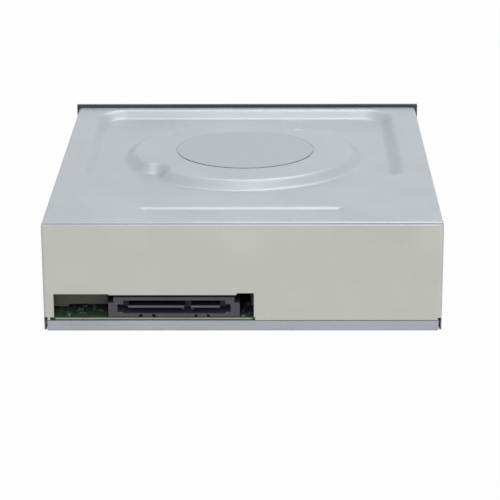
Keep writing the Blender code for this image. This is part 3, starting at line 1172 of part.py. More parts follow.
def build_clamper(steel, black, magnet):
    """The clamp bridge over the tray and the magnetic clamper that spins in it."""
    half = FLANGE_X - 0.0005
    y = (SPINDLE_Y - BRIDGE_FRONT, SPINDLE_Y - BRIDGE_FRONT + BRIDGE_LENGTH)
    outline = rounded_rectangle((-half, half), y, 0.003, 3)
    bridge = add_piece("clamp_bridge", prism(outline, (BRIDGE_Z, BRIDGE_TOP_Z)), steel)
    over = (BRIDGE_Z - GAP, BRIDGE_TOP_Z + GAP)
    cut(bridge, cylinder((0.0, SPINDLE_Y), BRIDGE_HOLE_RADIUS, over, ROUND))
    cut(bridge, together(*[cylinder(p, PEG_RADIUS + GAP, over, TINY) for p in bridge_peg_places()]))

    low = CLAMP_Z + CLAMPER_LIFT
    flange_z = BRIDGE_TOP_Z + GAP
    top = flange_z + 0.0012
    recess_z = CLAMP_Z + CONE_HEIGHT
    cup_radius = CLAMPER_RADIUS - 0.0017
    cup_z = recess_z + CLAMPER_FLOOR
    centre = (0.0, SPINDLE_Y, 0.0)
    hub = turned([(0, recess_z), (CONE_RADIUS + 0.0011, recess_z), (CONE_RADIUS + 0.0011, low),
                  (CLAMPER_RADIUS, low), (CLAMPER_RADIUS, flange_z), (CLAMPER_FLANGE, flange_z),
                  (CLAMPER_FLANGE, top), (cup_radius, top), (cup_radius, cup_z), (0, cup_z)])
    add_piece("clamper_hub", hub, black, at=centre)
    ring_z = (cup_z + GAP, cup_z + GAP + MAGNET_THICK)
    ring = turned([(MAGNET_BORE, ring_z[0]), (cup_radius - GAP, ring_z[0]), (cup_radius - GAP, ring_z[1]),
                   (MAGNET_BORE, ring_z[1])])
    add_piece("clamper_magnet", ring, magnet, at=centre)


def build_plug(plastic):
    """The rear data and power plug with its two keyed tongues."""
    x = about(PLUG_X, PLUG_WIDTH)
    y = (PLUG_REAR_Y - PLUG_DEPTH, PLUG_REAR_Y)
    plug = add_piece("sata_plug", block(x, y, (PART_Z, PLUG_TOP_Z)), plastic)
    shoulder = block((x[1] - PLUG_SHOULDER, x[1] + GAP), (y[0] - GAP, y[1] + GAP),
                     (PLUG_TOP_Z - PLUG_SHOULDER_HEIGHT, PLUG_TOP_Z + GAP))
    other = block((x[0] - GAP, x[0] + PLUG_SHOULDER), (y[0] - GAP, y[1] + GAP),
                  (PLUG_TOP_Z - PLUG_SHOULDER_HEIGHT, PLUG_TOP_Z + GAP))
    cut(plug, together(shoulder, other))
    low = PART_Z + 0.0013
    mouth = (y[1] - CAVITY_DEPTH, y[1] + GAP)
    cut(plug, block((x[0] + 0.0054, x[1] - 0.0055), mouth, (low, low + CAVITY_HEIGHT)))
    cut(plug, block((x[0] + 0.0033, x[1] - 0.0033), mouth, (low + 0.0004, low + 0.0034)))
    foot = block((PLUG_X + 0.008, PLUG_X + 0.013), mouth, (PART_Z - GAP, PART_Z + 0.0006))
    foot_two = block((PLUG_X - 0.013, PLUG_X - 0.008), mouth, (PART_Z - GAP, PART_Z + 0.0006))
    cut(plug, together(foot, foot_two))
    tongue_z = (low + 0.0019, low + 0.0019 + TONGUE_THICK)
    tongue_y = (y[1] - CAVITY_DEPTH - GAP, y[1] - 0.0004)
    power_x = (PLUG_X - 0.0038, PLUG_X - 0.0038 + POWER_TONGUE)
    data_x = (power_x[0] - TONGUE_GAP - DATA_TONGUE, power_x[0] - TONGUE_GAP)
    fuse(plug, together(block(power_x, tongue_y, tongue_z), block(data_x, tongue_y, tongue_z)))
    key_z = (tongue_z[0] - KEY_DROP, tongue_z[1] - GAP)
    fuse(plug, together(block((power_x[0], power_x[0] + KEY_WIDTH), tongue_y, key_z),
                        block((data_x[1] - KEY_WIDTH, data_x[1]), tongue_y, key_z)))


def build_board(board_green, black, silver, white, film, zinc):
    """The main board with its chips, capacitors, ribbon socket and ribbon."""
    right = CASE_INNER - GAP - SHEET - 0.0009
    board = block((BOARD_LEFT_X, right), (BOARD_FRONT_Y, BOARD_REAR_Y), (BOARD_Z, BOARD_TOP_Z))
    board = add_piece("main_board", board, board_green)
    holes = [cylinder(p, SCREW_HOLE_RADIUS, (BOARD_Z - GAP, BOARD_TOP_Z + GAP), TINY) for p in board_screw_places()]
    cut(board, together(*holes))
    for number, place in enumerate(board_screw_places(), 1):
        bolt = screw((0, 0), PART_Z, BOARD_SHEET + 0.002, False)
        add_piece(f"board_screw_{number}", bolt, zinc, at=(*place, 0.0))
    chip_z = (PART_Z, PART_Z + CHIP_THICK)
    chip_y = about(BOARD_FRONT_Y + CHIP_FROM_FRONT, CHIP_WIDTH)
    add_piece("controller_chip", block(about(CHIP_X, CHIP_WIDTH), chip_y, chip_z), black)
    driver_y = about(BOARD_FRONT_Y + DRIVER_FROM_FRONT, DRIVER_LENGTH)
    add_piece("driver_chip", block(about(DRIVER_X, DRIVER_WIDTH), driver_y, chip_z), black)
    can = cylinder((0, 0), CAN_RADIUS, (PART_Z, PART_Z + CAN_HEIGHT), SMALL)
    add_piece("capacitor", can, silver, at=(WEB_X - CAN_FROM_WEB, BOARD_FRONT_Y + CAN_FROM_FRONT, 0.0))
    socket_x = about(RIBBON_X, SOCKET_WIDTH)
    socket_y = BOARD_FRONT_Y + SOCKET_FROM_FRONT
    add_piece("ribbon_socket", block(socket_x, (socket_y, socket_y + SOCKET_LENGTH),
                                     (PART_Z, PART_Z + SOCKET_THICK)), white)
    start = socket_y - GAP
    low = SHEET + 0.0016
    path = [(start, PART_Z + SOCKET_THICK / 2), (start - 0.005, PART_Z - 0.0007), (start - 0.013, low + 0.0002),
            (start - 0.0175, low), (start - 0.019, low + 0.0012), (start - 0.0175, low + 0.0025),
            (start - 0.013, low + 0.0032), (start - 0.009, low + 0.0038)]
    thick = GAP
    outline = ribbon_outline(path, thick)
    add_piece("pickup_ribbon", prism_along_x(outline, about(RIBBON_X, RIBBON_WIDTH)), film)


def ribbon_outline(path, thick):
    """A strip of even thickness along a path of (y, z) points."""
    left, right = [], []
    for i, (y, z) in enumerate(path):
        before, after = path[max(i - 1, 0)], path[min(i + 1, len(path) - 1)]
        along = Vector((after[0] - before[0], after[1] - before[1])).normalized()
        side = Vector((-along.y, along.x)) * thick / 2
        left.append((y + side.x, z + side.y))
        right.append((y - side.x, z - side.y))
    return left + right[::-1]


def main():
    """Builds the whole drive."""
    for old in list(bpy.data.objects):
        bpy.data.objects.remove(old, do_unlink=True)
    zinc_sheet = finish("zinc_coated_steel", (0.53, 0.56, 0.58), 0.45, 0.6)
    black = finish("black_abs", (0.02, 0.02, 0.022), 0.5)
    grey = finish("dark_grey_abs", (0.035, 0.035, 0.038), 0.55)
    cream = finish("natural_acetal", (0.75, 0.72, 0.62), 0.45)
    steel = finish("bright_steel", (0.60, 0.60, 0.60), 0.3, 0.9)
    zinc = finish("zinc_screw", (0.55, 0.55, 0.52), 0.35, 0.9)
    rubber = finish("black_rubber", (0.015, 0.015, 0.015), 0.8)
    green = finish("green_board", (0.02, 0.12, 0.05), 0.4)
    clear = finish("clear_acrylic", (0.80, 0.80, 0.78), 0.1)
    white = finish("white_nylon", (0.80, 0.80, 0.76), 0.5)
    copper = finish("copper_winding", (0.55, 0.25, 0.12), 0.4, 0.7)
    magnet = finish("dark_ferrite", (0.08, 0.08, 0.085), 0.6)
    cast = finish("cast_zinc", (0.35, 0.36, 0.37), 0.5, 0.7)
    glass = finish("coated_glass", (0.25, 0.30, 0.50), 0.05)
    film = finish("ribbon_film", (0.62, 0.58, 0.45), 0.4)

    build_top_cover(zinc_sheet)
    build_bottom_cover(zinc_sheet)
    build_case_screws(zinc)
    build_bezel(black)
    build_tray(black)
    build_button(black, clear)
    build_switch_board(green, black, white, clear)
    build_chassis(grey)
    build_drive(cream, black, steel, rubber)
    build_cam_slider(grey)
    hinge = add_empty("traverse_hinge", (0.0, HINGE_Y, HINGE_Z))
    hinge.rotation_euler = (DROP_ANGLE, 0.0, 0.0)
    build_lift_frame(grey, hinge)
    build_deck(steel, rubber, zinc, hinge)
    build_rods(steel, hinge)
    build_spindle(steel, black, copper, rubber, hinge)
    build_pickup(cast, black, steel, glass, hinge)
    build_feed(steel, black, cream, hinge)
    build_clamper(steel, black, magnet)
    build_plug(black)
    build_board(green, black, zinc, white, film, zinc)


main()
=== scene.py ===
"""A half-height internal DVD writer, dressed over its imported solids.

Metres, +Z up. The bezel faces -Y and the rear panel, with its plug on the +X side, faces +Y.
Every finish is built from nodes on Object coordinates, so it stays on its piece.
"""
import logging
import math
import random
from dataclasses import dataclass, field, replace
from enum import Enum
from typing import Callable, Iterable, Sequence

import bmesh
import bpy
from mathutils import Matrix, Vector


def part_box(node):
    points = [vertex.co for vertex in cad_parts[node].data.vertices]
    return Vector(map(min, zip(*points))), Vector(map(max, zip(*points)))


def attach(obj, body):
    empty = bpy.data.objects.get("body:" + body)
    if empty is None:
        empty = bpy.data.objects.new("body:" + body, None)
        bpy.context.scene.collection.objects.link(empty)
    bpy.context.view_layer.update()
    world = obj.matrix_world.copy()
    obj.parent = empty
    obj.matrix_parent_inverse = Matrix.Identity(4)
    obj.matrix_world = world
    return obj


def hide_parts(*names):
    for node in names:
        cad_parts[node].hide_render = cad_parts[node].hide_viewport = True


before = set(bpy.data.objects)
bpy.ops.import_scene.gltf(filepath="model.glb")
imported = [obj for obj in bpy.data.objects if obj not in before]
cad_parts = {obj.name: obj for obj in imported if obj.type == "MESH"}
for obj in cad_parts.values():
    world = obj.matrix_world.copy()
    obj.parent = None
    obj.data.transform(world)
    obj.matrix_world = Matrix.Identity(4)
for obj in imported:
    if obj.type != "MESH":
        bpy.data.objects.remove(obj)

Span = tuple[float, float]
Point = tuple[float, float]
Corner = tuple[float, float, float]
Colour = tuple[float, float, float, float]
Tree = bpy.types.NodeTree
Socket = bpy.types.NodeSocket

LOG = logging.getLogger("dvd_writer")
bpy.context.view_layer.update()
# how far a cutter reaches past what it cuts, beside metal that stays and in the open
GRIP = 0.0002
CLEAR = 0.001
# how near two points or planes count as one
TOUCH = 1e-6
LEVEL = 1e-5


class Axis(Enum):
    """The three axes, each as the turn that lays an upright form along it."""

    X = (math.pi / 2, "Y")
    Y = (-math.pi / 2, "X")
    Z = (0.0, "Z")


class Body(Enum):
    """The bodies that a new piece may ride on."""

    CASE = "case"
    TRAY = "tray"
    BUTTON = "eject_button"


def linear(code: str) -> Colour:
    """Turns an sRGB hex value into a linear colour.

    Args:
        code: Six hex digits, red first.

    Returns:
        Red, green, blue and an alpha of one.
    """
    shares = [int(code[i:i + 2], 16) / 255 for i in (0, 2, 4)]
    turned = [s / 12.92 if s <= 0.04045 else ((s + 0.055) / 1.055) ** 2.4 for s in shares]
    return (turned[0], turned[1], turned[2], 1.0)


def add_node(tree: Tree, kind: str, settings: dict[str, object] | None = None,
             inputs: dict[str | int, object] | None = None) -> bpy.types.Node:
    """Adds a node with its settings and its links.

    Args:
        tree: The material's or the world's nodes.
        kind: Blender's name for the node.
        settings: Attributes to set on it.
        inputs: A value, or an output socket to link, for each named or numbered input.

    Returns:
        The new node.
    """
    made = tree.nodes.new(kind)
    for key, value in (settings or {}).items():
        setattr(made, key, value)
    for key, value in (inputs or {}).items():
        if isinstance(value, Socket):
            tree.links.new(value, made.inputs[key])
        else:
            made.inputs[key].default_value = value
    return made


@dataclass(frozen=True)
class Finish:
    """A surface finish: one Principled shader and what its class adds to it."""

    name: str
    colour: str
    roughness: float
    metallic: float = 0.0
    gloss: float = 0.5

    def material(self) -> bpy.types.Material:
        """Makes the finish's material on first use.

        Returns:
            The material, the same one each time.
        """
        found = bpy.data.materials.get(self.name)
        if found:
            return found
        material = bpy.data.materials.new(self.name)
        material.use_nodes = True
        tree = material.node_tree
        shader = tree.nodes["Principled BSDF"]
        shader.inputs["Base Color"].default_value = linear(self.colour)
        shader.inputs["Roughness"].default_value = self.roughness
        shader.inputs["Metallic"].default_value = self.metallic
        shader.inputs["Specular IOR Level"].default_value = self.gloss
        self.dress(tree, shader)
        material.diffuse_color = linear(self.colour)
        return material

    def grain_at(self, tree: Tree, rates: Sequence[float]) -> Socket:
        """Gives Object coordinates stretched so that one unit is one grain.

        Args:
            tree: The material's nodes.
            rates: Grains per metre along each axis.

        Returns:
            The stretched coordinates.
        """
        place = add_node(tree, "ShaderNodeTexCoord").outputs["Object"]
        return add_node(tree, "ShaderNodeMapping", inputs={"Vector": place, "Scale": rates}).outputs[0]

    def shaded(self, share: float) -> Colour:
        """The finish's own colour, darker or lighter by a share."""
        red, green, blue, _ = linear(self.colour)
        return (red * share, green * share, blue * share, 1.0)

    def tint(self, tree: Tree, shader: bpy.types.Node, factor: Socket, low: Colour, high: Colour,
             span: Span = (0.3, 0.7)) -> None:
        """Runs the base colour between two colours.

        Args:
            tree: The material's nodes.
            shader: Its Principled shader.
            factor: The pattern that the colour follows.
            low: The colour at the low end.
            high: The colour at the high end.
            span: The pattern's values at which the two are reached.
        """
        ramp = add_node(tree, "ShaderNodeValToRGB", inputs={"Fac": factor})
        for stop, colour, place in zip(ramp.color_ramp.elements, (low, high), span):
            stop.color, stop.position = colour, place
        tree.links.new(ramp.outputs[0], shader.inputs["Base Color"])

    def vary(self, tree: Tree, shader: bpy.types.Node, factor: Socket, below: float, above: float,
             span: Span = (0.3, 0.7)) -> None:
        """Lets the roughness drift about the finish's own.

        Args:
            tree: The material's nodes.
            shader: Its Principled shader.
            factor: The pattern that the roughness follows.
            below: How far it falls at the low end.
            above: How far it rises at the high end.
            span: The pattern's values at which the two are reached.
        """
        rough = add_node(tree, "ShaderNodeMapRange", inputs={
            "Value": factor, "From Min": span[0], "From Max": span[1],
            "To Min": self.roughness - below, "To Max": self.roughness + above})
        tree.links.new(rough.outputs[0], shader.inputs["Roughness"])

    def relief(self, tree: Tree, shader: bpy.types.Node, height: Socket, depth: float, strength: float) -> None:
        """Raises the surface by a pattern.

        Args:
            tree: The material's nodes.
            shader: Its Principled shader.
            height: The pattern that the surface follows.
            depth: Its real depth in metres.
            strength: How much of it shows.
        """
        bump = add_node(tree, "ShaderNodeBump", inputs={"Height": height, "Distance": depth, "Strength": strength})
        tree.links.new(bump.outputs[0], shader.inputs["Normal"])

    def dress(self, tree: Tree, shader: bpy.types.Node) -> None:
        """Adds what this finish has beyond one colour; a plain finish adds nothing.

        Args:
            tree: The material's nodes.
            shader: Its Principled shader.
        """


@dataclass(frozen=True)
class CoatedSheet(Finish):
    """Electro-galvanised cold-rolled steel sheet: satin, with a faint grain along its rolling direction."""

    low: str = "B9BDC0"
    high: str = "C4C8CB"

    def dress(self, tree: Tree, shader: bpy.types.Node) -> None:
        """Adds rolling streaks, and clouds 25 mm across in the zinc.

        Args:
            tree: The material's nodes.
            shader: Its Principled shader.
        """
        # real streaks are 0.1 mm wide, too fine for the render, so these are 0.8 mm wide and 40 mm long
        streaks = add_node(tree, "ShaderNodeTexNoise", inputs={
            "Vector": self.grain_at(tree, (1250.0, 25.0, 1250.0)), "Scale": 1.0, "Detail": 2.0, "Roughness": 0.5})
        clouds = add_node(tree, "ShaderNodeTexNoise", inputs={
            "Vector": self.grain_at(tree, (40.0, 40.0, 40.0)), "Scale": 1.0, "Detail": 4.0, "Roughness": 0.5})
        both = add_node(tree, "ShaderNodeMix", {"data_type": "FLOAT"},
                        {0: 0.2, 2: clouds.outputs["Fac"], 3: streaks.outputs["Fac"]})
        self.tint(tree, shader, both.outputs[0], linear(self.low), linear(self.high))
        self.vary(tree, shader, clouds.outputs["Fac"], 0.03, 0.03)
        self.relief(tree, shader, streaks.outputs["Fac"], 0.000003, 0.3)


@dataclass(frozen=True)
class SealFoil(Finish):
    """Thin satin aluminium foil on adhesive: even, with the faintest waviness."""

    def dress(self, tree: Tree, shader: bpy.types.Node) -> None:
        """Adds waves 8 mm across and 0.02 mm high, under a fine grain.

        Args:
            tree: The material's nodes.
            shader: Its Principled shader.
        """
        waves = add_node(tree, "ShaderNodeTexNoise", inputs={
            "Vector": self.grain_at(tree, (120.0, 120.0, 120.0)), "Scale": 1.0, "Detail": 2.0})
        grain = add_node(tree, "ShaderNodeTexNoise", inputs={
            "Vector": self.grain_at(tree, (3000.0, 300.0, 3000.0)), "Scale": 1.0, "Detail": 2.0})
        self.tint(tree, shader, grain.outputs["Fac"], linear("B1B6BB"), linear("B6BBBF"))
        self.relief(tree, shader, waves.outputs["Fac"], 0.00002, 0.6)


@dataclass(frozen=True)
class MouldedPlastic(Finish):
    """Injection-moulded plastic with the spark-eroded grain of its mould."""

    grain: float = 0.0003
    depth: float = 0.000005

    def dress(self, tree: Tree, shader: bpy.types.Node) -> None:
        """Adds pits as wide as the grain, and a roughness that drifts over 30 mm.

        Args:
            tree: The material's nodes.
            shader: Its Principled shader.
        """
        rate = 1.0 / self.grain
        pits = add_node(tree, "ShaderNodeTexNoise", inputs={
            "Vector": self.grain_at(tree, (rate, rate, rate)), "Scale": 1.0, "Detail": 3.0, "Roughness": 0.7})
        drift = add_node(tree, "ShaderNodeTexNoise", inputs={
            "Vector": self.grain_at(tree, (33.0, 33.0, 33.0)), "Scale": 1.0, "Detail": 2.0})
        mottle = add_node(tree, "ShaderNodeMix", {"data_type": "FLOAT"},
                          {0: 0.5, 2: drift.outputs["Fac"], 3: pits.outputs["Fac"]})
        self.vary(tree, shader, drift.outputs["Fac"], 0.05, 0.05)
        self.tint(tree, shader, mottle.outputs[0], self.shaded(0.86), self.shaded(1.12))
        self.relief(tree, shader, pits.outputs["Fac"], self.depth, 0.6)


@dataclass(frozen=True)
class GroundSteel(Finish):
    """Bright ground or stamped steel with fine directional scratches."""

    def dress(self, tree: Tree, shader: bpy.types.Node) -> None:
        """Adds scratches 0.1 mm wide across the piece, which vary its gloss.

        Args:
            tree: The material's nodes.
            shader: Its Principled shader.
        """
        marks = add_node(tree, "ShaderNodeTexNoise", inputs={
            "Vector": self.grain_at(tree, (400.0, 9000.0, 9000.0)), "Scale": 1.0, "Detail": 3.0}).outputs["Fac"]
        self.vary(tree, shader, marks, 0.06, 0.08)
        self.tint(tree, shader, marks, self.shaded(0.9), self.shaded(1.06), (0.0, 1.0))
        self.relief(tree, shader, marks, 0.000003, 0.4)


@dataclass(frozen=True)
class SolderResist(Finish):
    """A green circuit board: tracks and pads show through the resist as lighter, raised lines."""

    copper: str = "4C6853"

    def dress(self, tree: Tree, shader: bpy.types.Node) -> None:
        """Adds tracks about 0.4 mm wide on a 1.27 mm raster, with pads 0.8 mm across at some crossings.

        Args:
            tree: The material's nodes.
            shader: Its Principled shader.
        """
        black, white = (0.0, 0.0, 0.0, 1.0), (1.0, 1.0, 1.0, 1.0)
        raster = self.grain_at(tree, (787.4, 787.4, 787.4))
        tracks = add_node(tree, "ShaderNodeTexBrick", {"offset": 0.37, "squash": 1.0}, {
            "Vector": raster, "Scale": 1.0, "Mortar Size": 0.15, "Mortar Smooth": 0.2, "Brick Width": 3.0,
            "Row Height": 0.7, "Color1": black, "Color2": black, "Mortar": white})
        pads = add_node(tree, "ShaderNodeTexVoronoi", inputs={"Vector": raster, "Scale": 0.45, "Randomness": 0.6})
        dots = add_node(tree, "ShaderNodeMath", {"operation": "LESS_THAN"}, {0: pads.outputs["Distance"], 1: 0.14})
        copper = add_node(tree, "ShaderNodeMath", {"operation": "MAXIMUM"},
                          {0: tracks.outputs["Color"], 1: dots.outputs[0]}).outputs[0]
        self.tint(tree, shader, copper, linear(self.colour), linear(self.copper), (0.0, 1.0))
        self.relief(tree, shader, copper, 0.00003, 0.6)


@dataclass(frozen=True)
class CopperWinding(Finish):
    """Lacquered copper wire laid in turns, seen as fine grooves."""

    def dress(self, tree: Tree, shader: bpy.types.Node) -> None:
        """Adds turns 0.3 mm apart.

        Args:
            tree: The material's nodes.
            shader: Its Principled shader.
        """
        turns = add_node(tree, "ShaderNodeTexWave", {"wave_type": "RINGS", "rings_direction": "Z"}, {
            "Vector": self.grain_at(tree, (1000.0, 1000.0, 1000.0)), "Scale": 0.55, "Distortion": 0.4})
        self.tint(tree, shader, turns.outputs["Fac"], linear("6E3418"), linear("C06A36"))
        self.relief(tree, shader, turns.outputs["Fac"], 0.00006, 0.8)


@dataclass(frozen=True)
class ClearPlastic(Finish):
    """Clear cast acrylic or coated glass: light passes through it."""

    transmission: float = 0.9
    ior: float = 1.49

    def dress(self, tree: Tree, shader: bpy.types.Node) -> None:
        """Sets its transmission and IOR, and adds a faint unevenness in its gloss.

        Args:
            tree: The material's nodes.
            shader: Its Principled shader.
        """
        shader.inputs["Transmission Weight"].default_value = self.transmission
        shader.inputs["IOR"].default_value = self.ior
        haze = add_node(tree, "ShaderNodeTexNoise", inputs={
            "Vector": self.grain_at(tree, (900.0, 900.0, 900.0)), "Scale": 1.0, "Detail": 1.0})
        self.vary(tree, shader, haze.outputs["Fac"], 0.0, 0.06, (0.0, 1.0))


# galvanised steel, deep drawn: a satin, slightly blue grey that shades softly over the pressed forms
COVER_STEEL = CoatedSheet("coated_sheet_cover", "BFC3C6", 0.38, 0.38, 0.25, "B8BDC1", "C2C7CB")
# the same steel where it is bent down at the rear, a little flatter, and coloured warmer as painted light: the warm
# light that falls on the rear wall
REAR_STEEL_PAINTED_WARM_LIGHT = CoatedSheet("coated_sheet_rear_painted_warm_light", "BCBCB6", 0.43, 0.38, 0.25, "BFBFB6", "C7C7BE")
# galvanised steel, folded from a thinner coil: a shade darker and duller than the cover
PAN_STEEL = CoatedSheet("coated_sheet_pan", "A9AEB3", 0.43, 0.38, 0.25, "A7AAAE", "B1B4B7")
# painted shade: a dark grey on the step faces of the rear fold, standing in for the shadowed gap that shows as a
# thin dark line along the fold
FOLD_STEP_PAINTED_SHADE = GroundSteel("fold_step_painted_shade", "606264", 0.5, 0.3)
# aluminium foil, rolled and stuck down: an even grey, duller than the steel round it
FOIL = SealFoil("satin_aluminium_foil", "B8BDC1", 0.38, 0.45, 0.3)
# painted shade: a dark grey on the foil's upright rim faces, standing in for the shadow line round the foil's edge
FOIL_RIM_PAINTED_SHADE = MouldedPlastic("foil_rim_painted_shade", "4E5155", 0.6, gloss=0.3)
# ABS, moulded on spark-eroded steel: a black that its grain turns matt
BEZEL_ABS = MouldedPlastic("grained_black_abs", "2B2D32", 0.5, grain=0.0004, depth=0.000012)
# ABS, moulded on finer steel: a deeper black with a soft shine
FRONT_ABS = MouldedPlastic("satin_black_abs", "25272B", 0.38, grain=0.0004, depth=0.000006)
# ABS, moulded plain: an even satin black over the whole tray
TRAY_ABS = MouldedPlastic("moulded_black_abs_tray", "26282C", 0.5, grain=0.0005, depth=0.00001)
# ABS, moulded with glass fibre: a dull brownish grey
CHASSIS_ABS = MouldedPlastic("moulded_grey_abs", "66625A", 0.6, gloss=0.4, grain=0.0006, depth=0.00001)
# PBT, moulded: a black that looks slate grey where light falls on it
PLUG_PBT = MouldedPlastic("moulded_black_pbt", "434149", 0.42, depth=0.000008)
# the plug's own PBT, coloured near black on the tongues deep in the plug's mouth: painted shade where little light
# reaches, with hardly a shine
TONGUE_PAINTED_SHADE_PBT = MouldedPlastic("moulded_black_pbt_unlit", "1A191D", 0.6, gloss=0.3, depth=0.000008)
# the plug's own PBT, coloured a paler grey on the tongues' front ends: painted light where light reaches the ends in
# the plug's mouth
TONGUE_RIM_PAINTED_LIGHT_PBT = MouldedPlastic("tongue_rim_painted_light", "56565D", 0.42, depth=0.000006)
# natural acetal, moulded: milky and smooth, as small gears are
ACETAL = MouldedPlastic("natural_acetal", "D9D4C4", 0.35, grain=0.0006, depth=0.000004)
# white nylon, moulded: brighter than acetal and a little duller
NYLON = MouldedPlastic("white_nylon", "E2E1DA", 0.45, grain=0.0005)
# rubber, moulded: black and without shine; also the black of the painted shadow strip under the board's rear edge
BLACK_RUBBER_AND_PAINTED_SHADOW = MouldedPlastic("black_rubber", "1E1E1F", 0.85, depth=0.00002)
# epoxy, moulded round a chip: near black and finely pitted
CHIP_EPOXY = MouldedPlastic("moulded_chip_epoxy", "232325", 0.55, grain=0.0002, depth=0.000008)
# ceramic, fired: a cold dark grey
CERAMIC = MouldedPlastic("fired_ceramic_grey", "3C4446", 0.5)
# tinned copper under lacquer: a pale green that stands out on the board
PAD_LACQUER = MouldedPlastic("lacquered_copper_pad", "86A89B", 0.4)
# glass epoxy, bare: a dull yellow green
PAD_YELLOW = MouldedPlastic("bare_board_corner", "8E9048", 0.5)
# glass epoxy, sawn: pale and rough along the cut
BOARD_EDGE = MouldedPlastic("sawn_glass_epoxy_edge", "A8B09A", 0.6, depth=0.00001)
# ferrite, sintered: charcoal grey and matt
FERRITE = MouldedPlastic("sintered_ferrite", "3A3A3D", 0.6, 0.1, grain=0.0002, depth=0.00001)
# polyimide film, rolled: amber with a smooth shine
FILM = MouldedPlastic("polyimide_film", "B5A26E", 0.35, grain=0.002, depth=0.000003)
# steel, ground or stamped: bright, with fine marks that blur what it reflects
BRIGHT_STEEL = GroundSteel("ground_bright_steel", "B9B9B9", 0.3, 0.9)
# steel, turned and zinc plated: bright and slightly warm
ZINC_SCREW = GroundSteel("zinc_plated_screw_steel", "BFBFB8", 0.34, 0.9)
# steel, turned and blackened: dark with a low shine
DARK_SCREW = GroundSteel("blackened_screw_steel", "343537", 0.5, 0.5)
# zinc, die cast: a mid grey metal that reflects little
CAST_ZINC = GroundSteel("die_cast_zinc", "8C8D90", 0.5, 0.8)
# bronze, stamped and gold plated: warm bright strips
GOLD = GroundSteel("gold_plated_contact", "D9B25A", 0.25, 1.0)
# tin solder, run: silvery and smooth
SOLDER = GroundSteel("tin_solder", "C6C8CA", 0.3, 0.9)
# solder resist, screened over copper: dark green with paler lines
BOARD_GREEN = SolderResist("green_solder_resist", "2B382B", 0.4)
# copper wire, lacquered and wound: brown and glossy between its grooves
COPPER = CopperWinding("copper_winding", "9A4F28", 0.4, 0.7)
# acrylic, moulded clear: a small bright window
ACRYLIC = ClearPlastic("clear_acrylic", "E8EAEA", 0.08)
# glass, polished and coated: clear with a blue cast
LENS_GLASS = ClearPlastic("coated_lens_glass", "9FB0DD", 0.03, 0.0, 0.5, 0.8, 1.52)


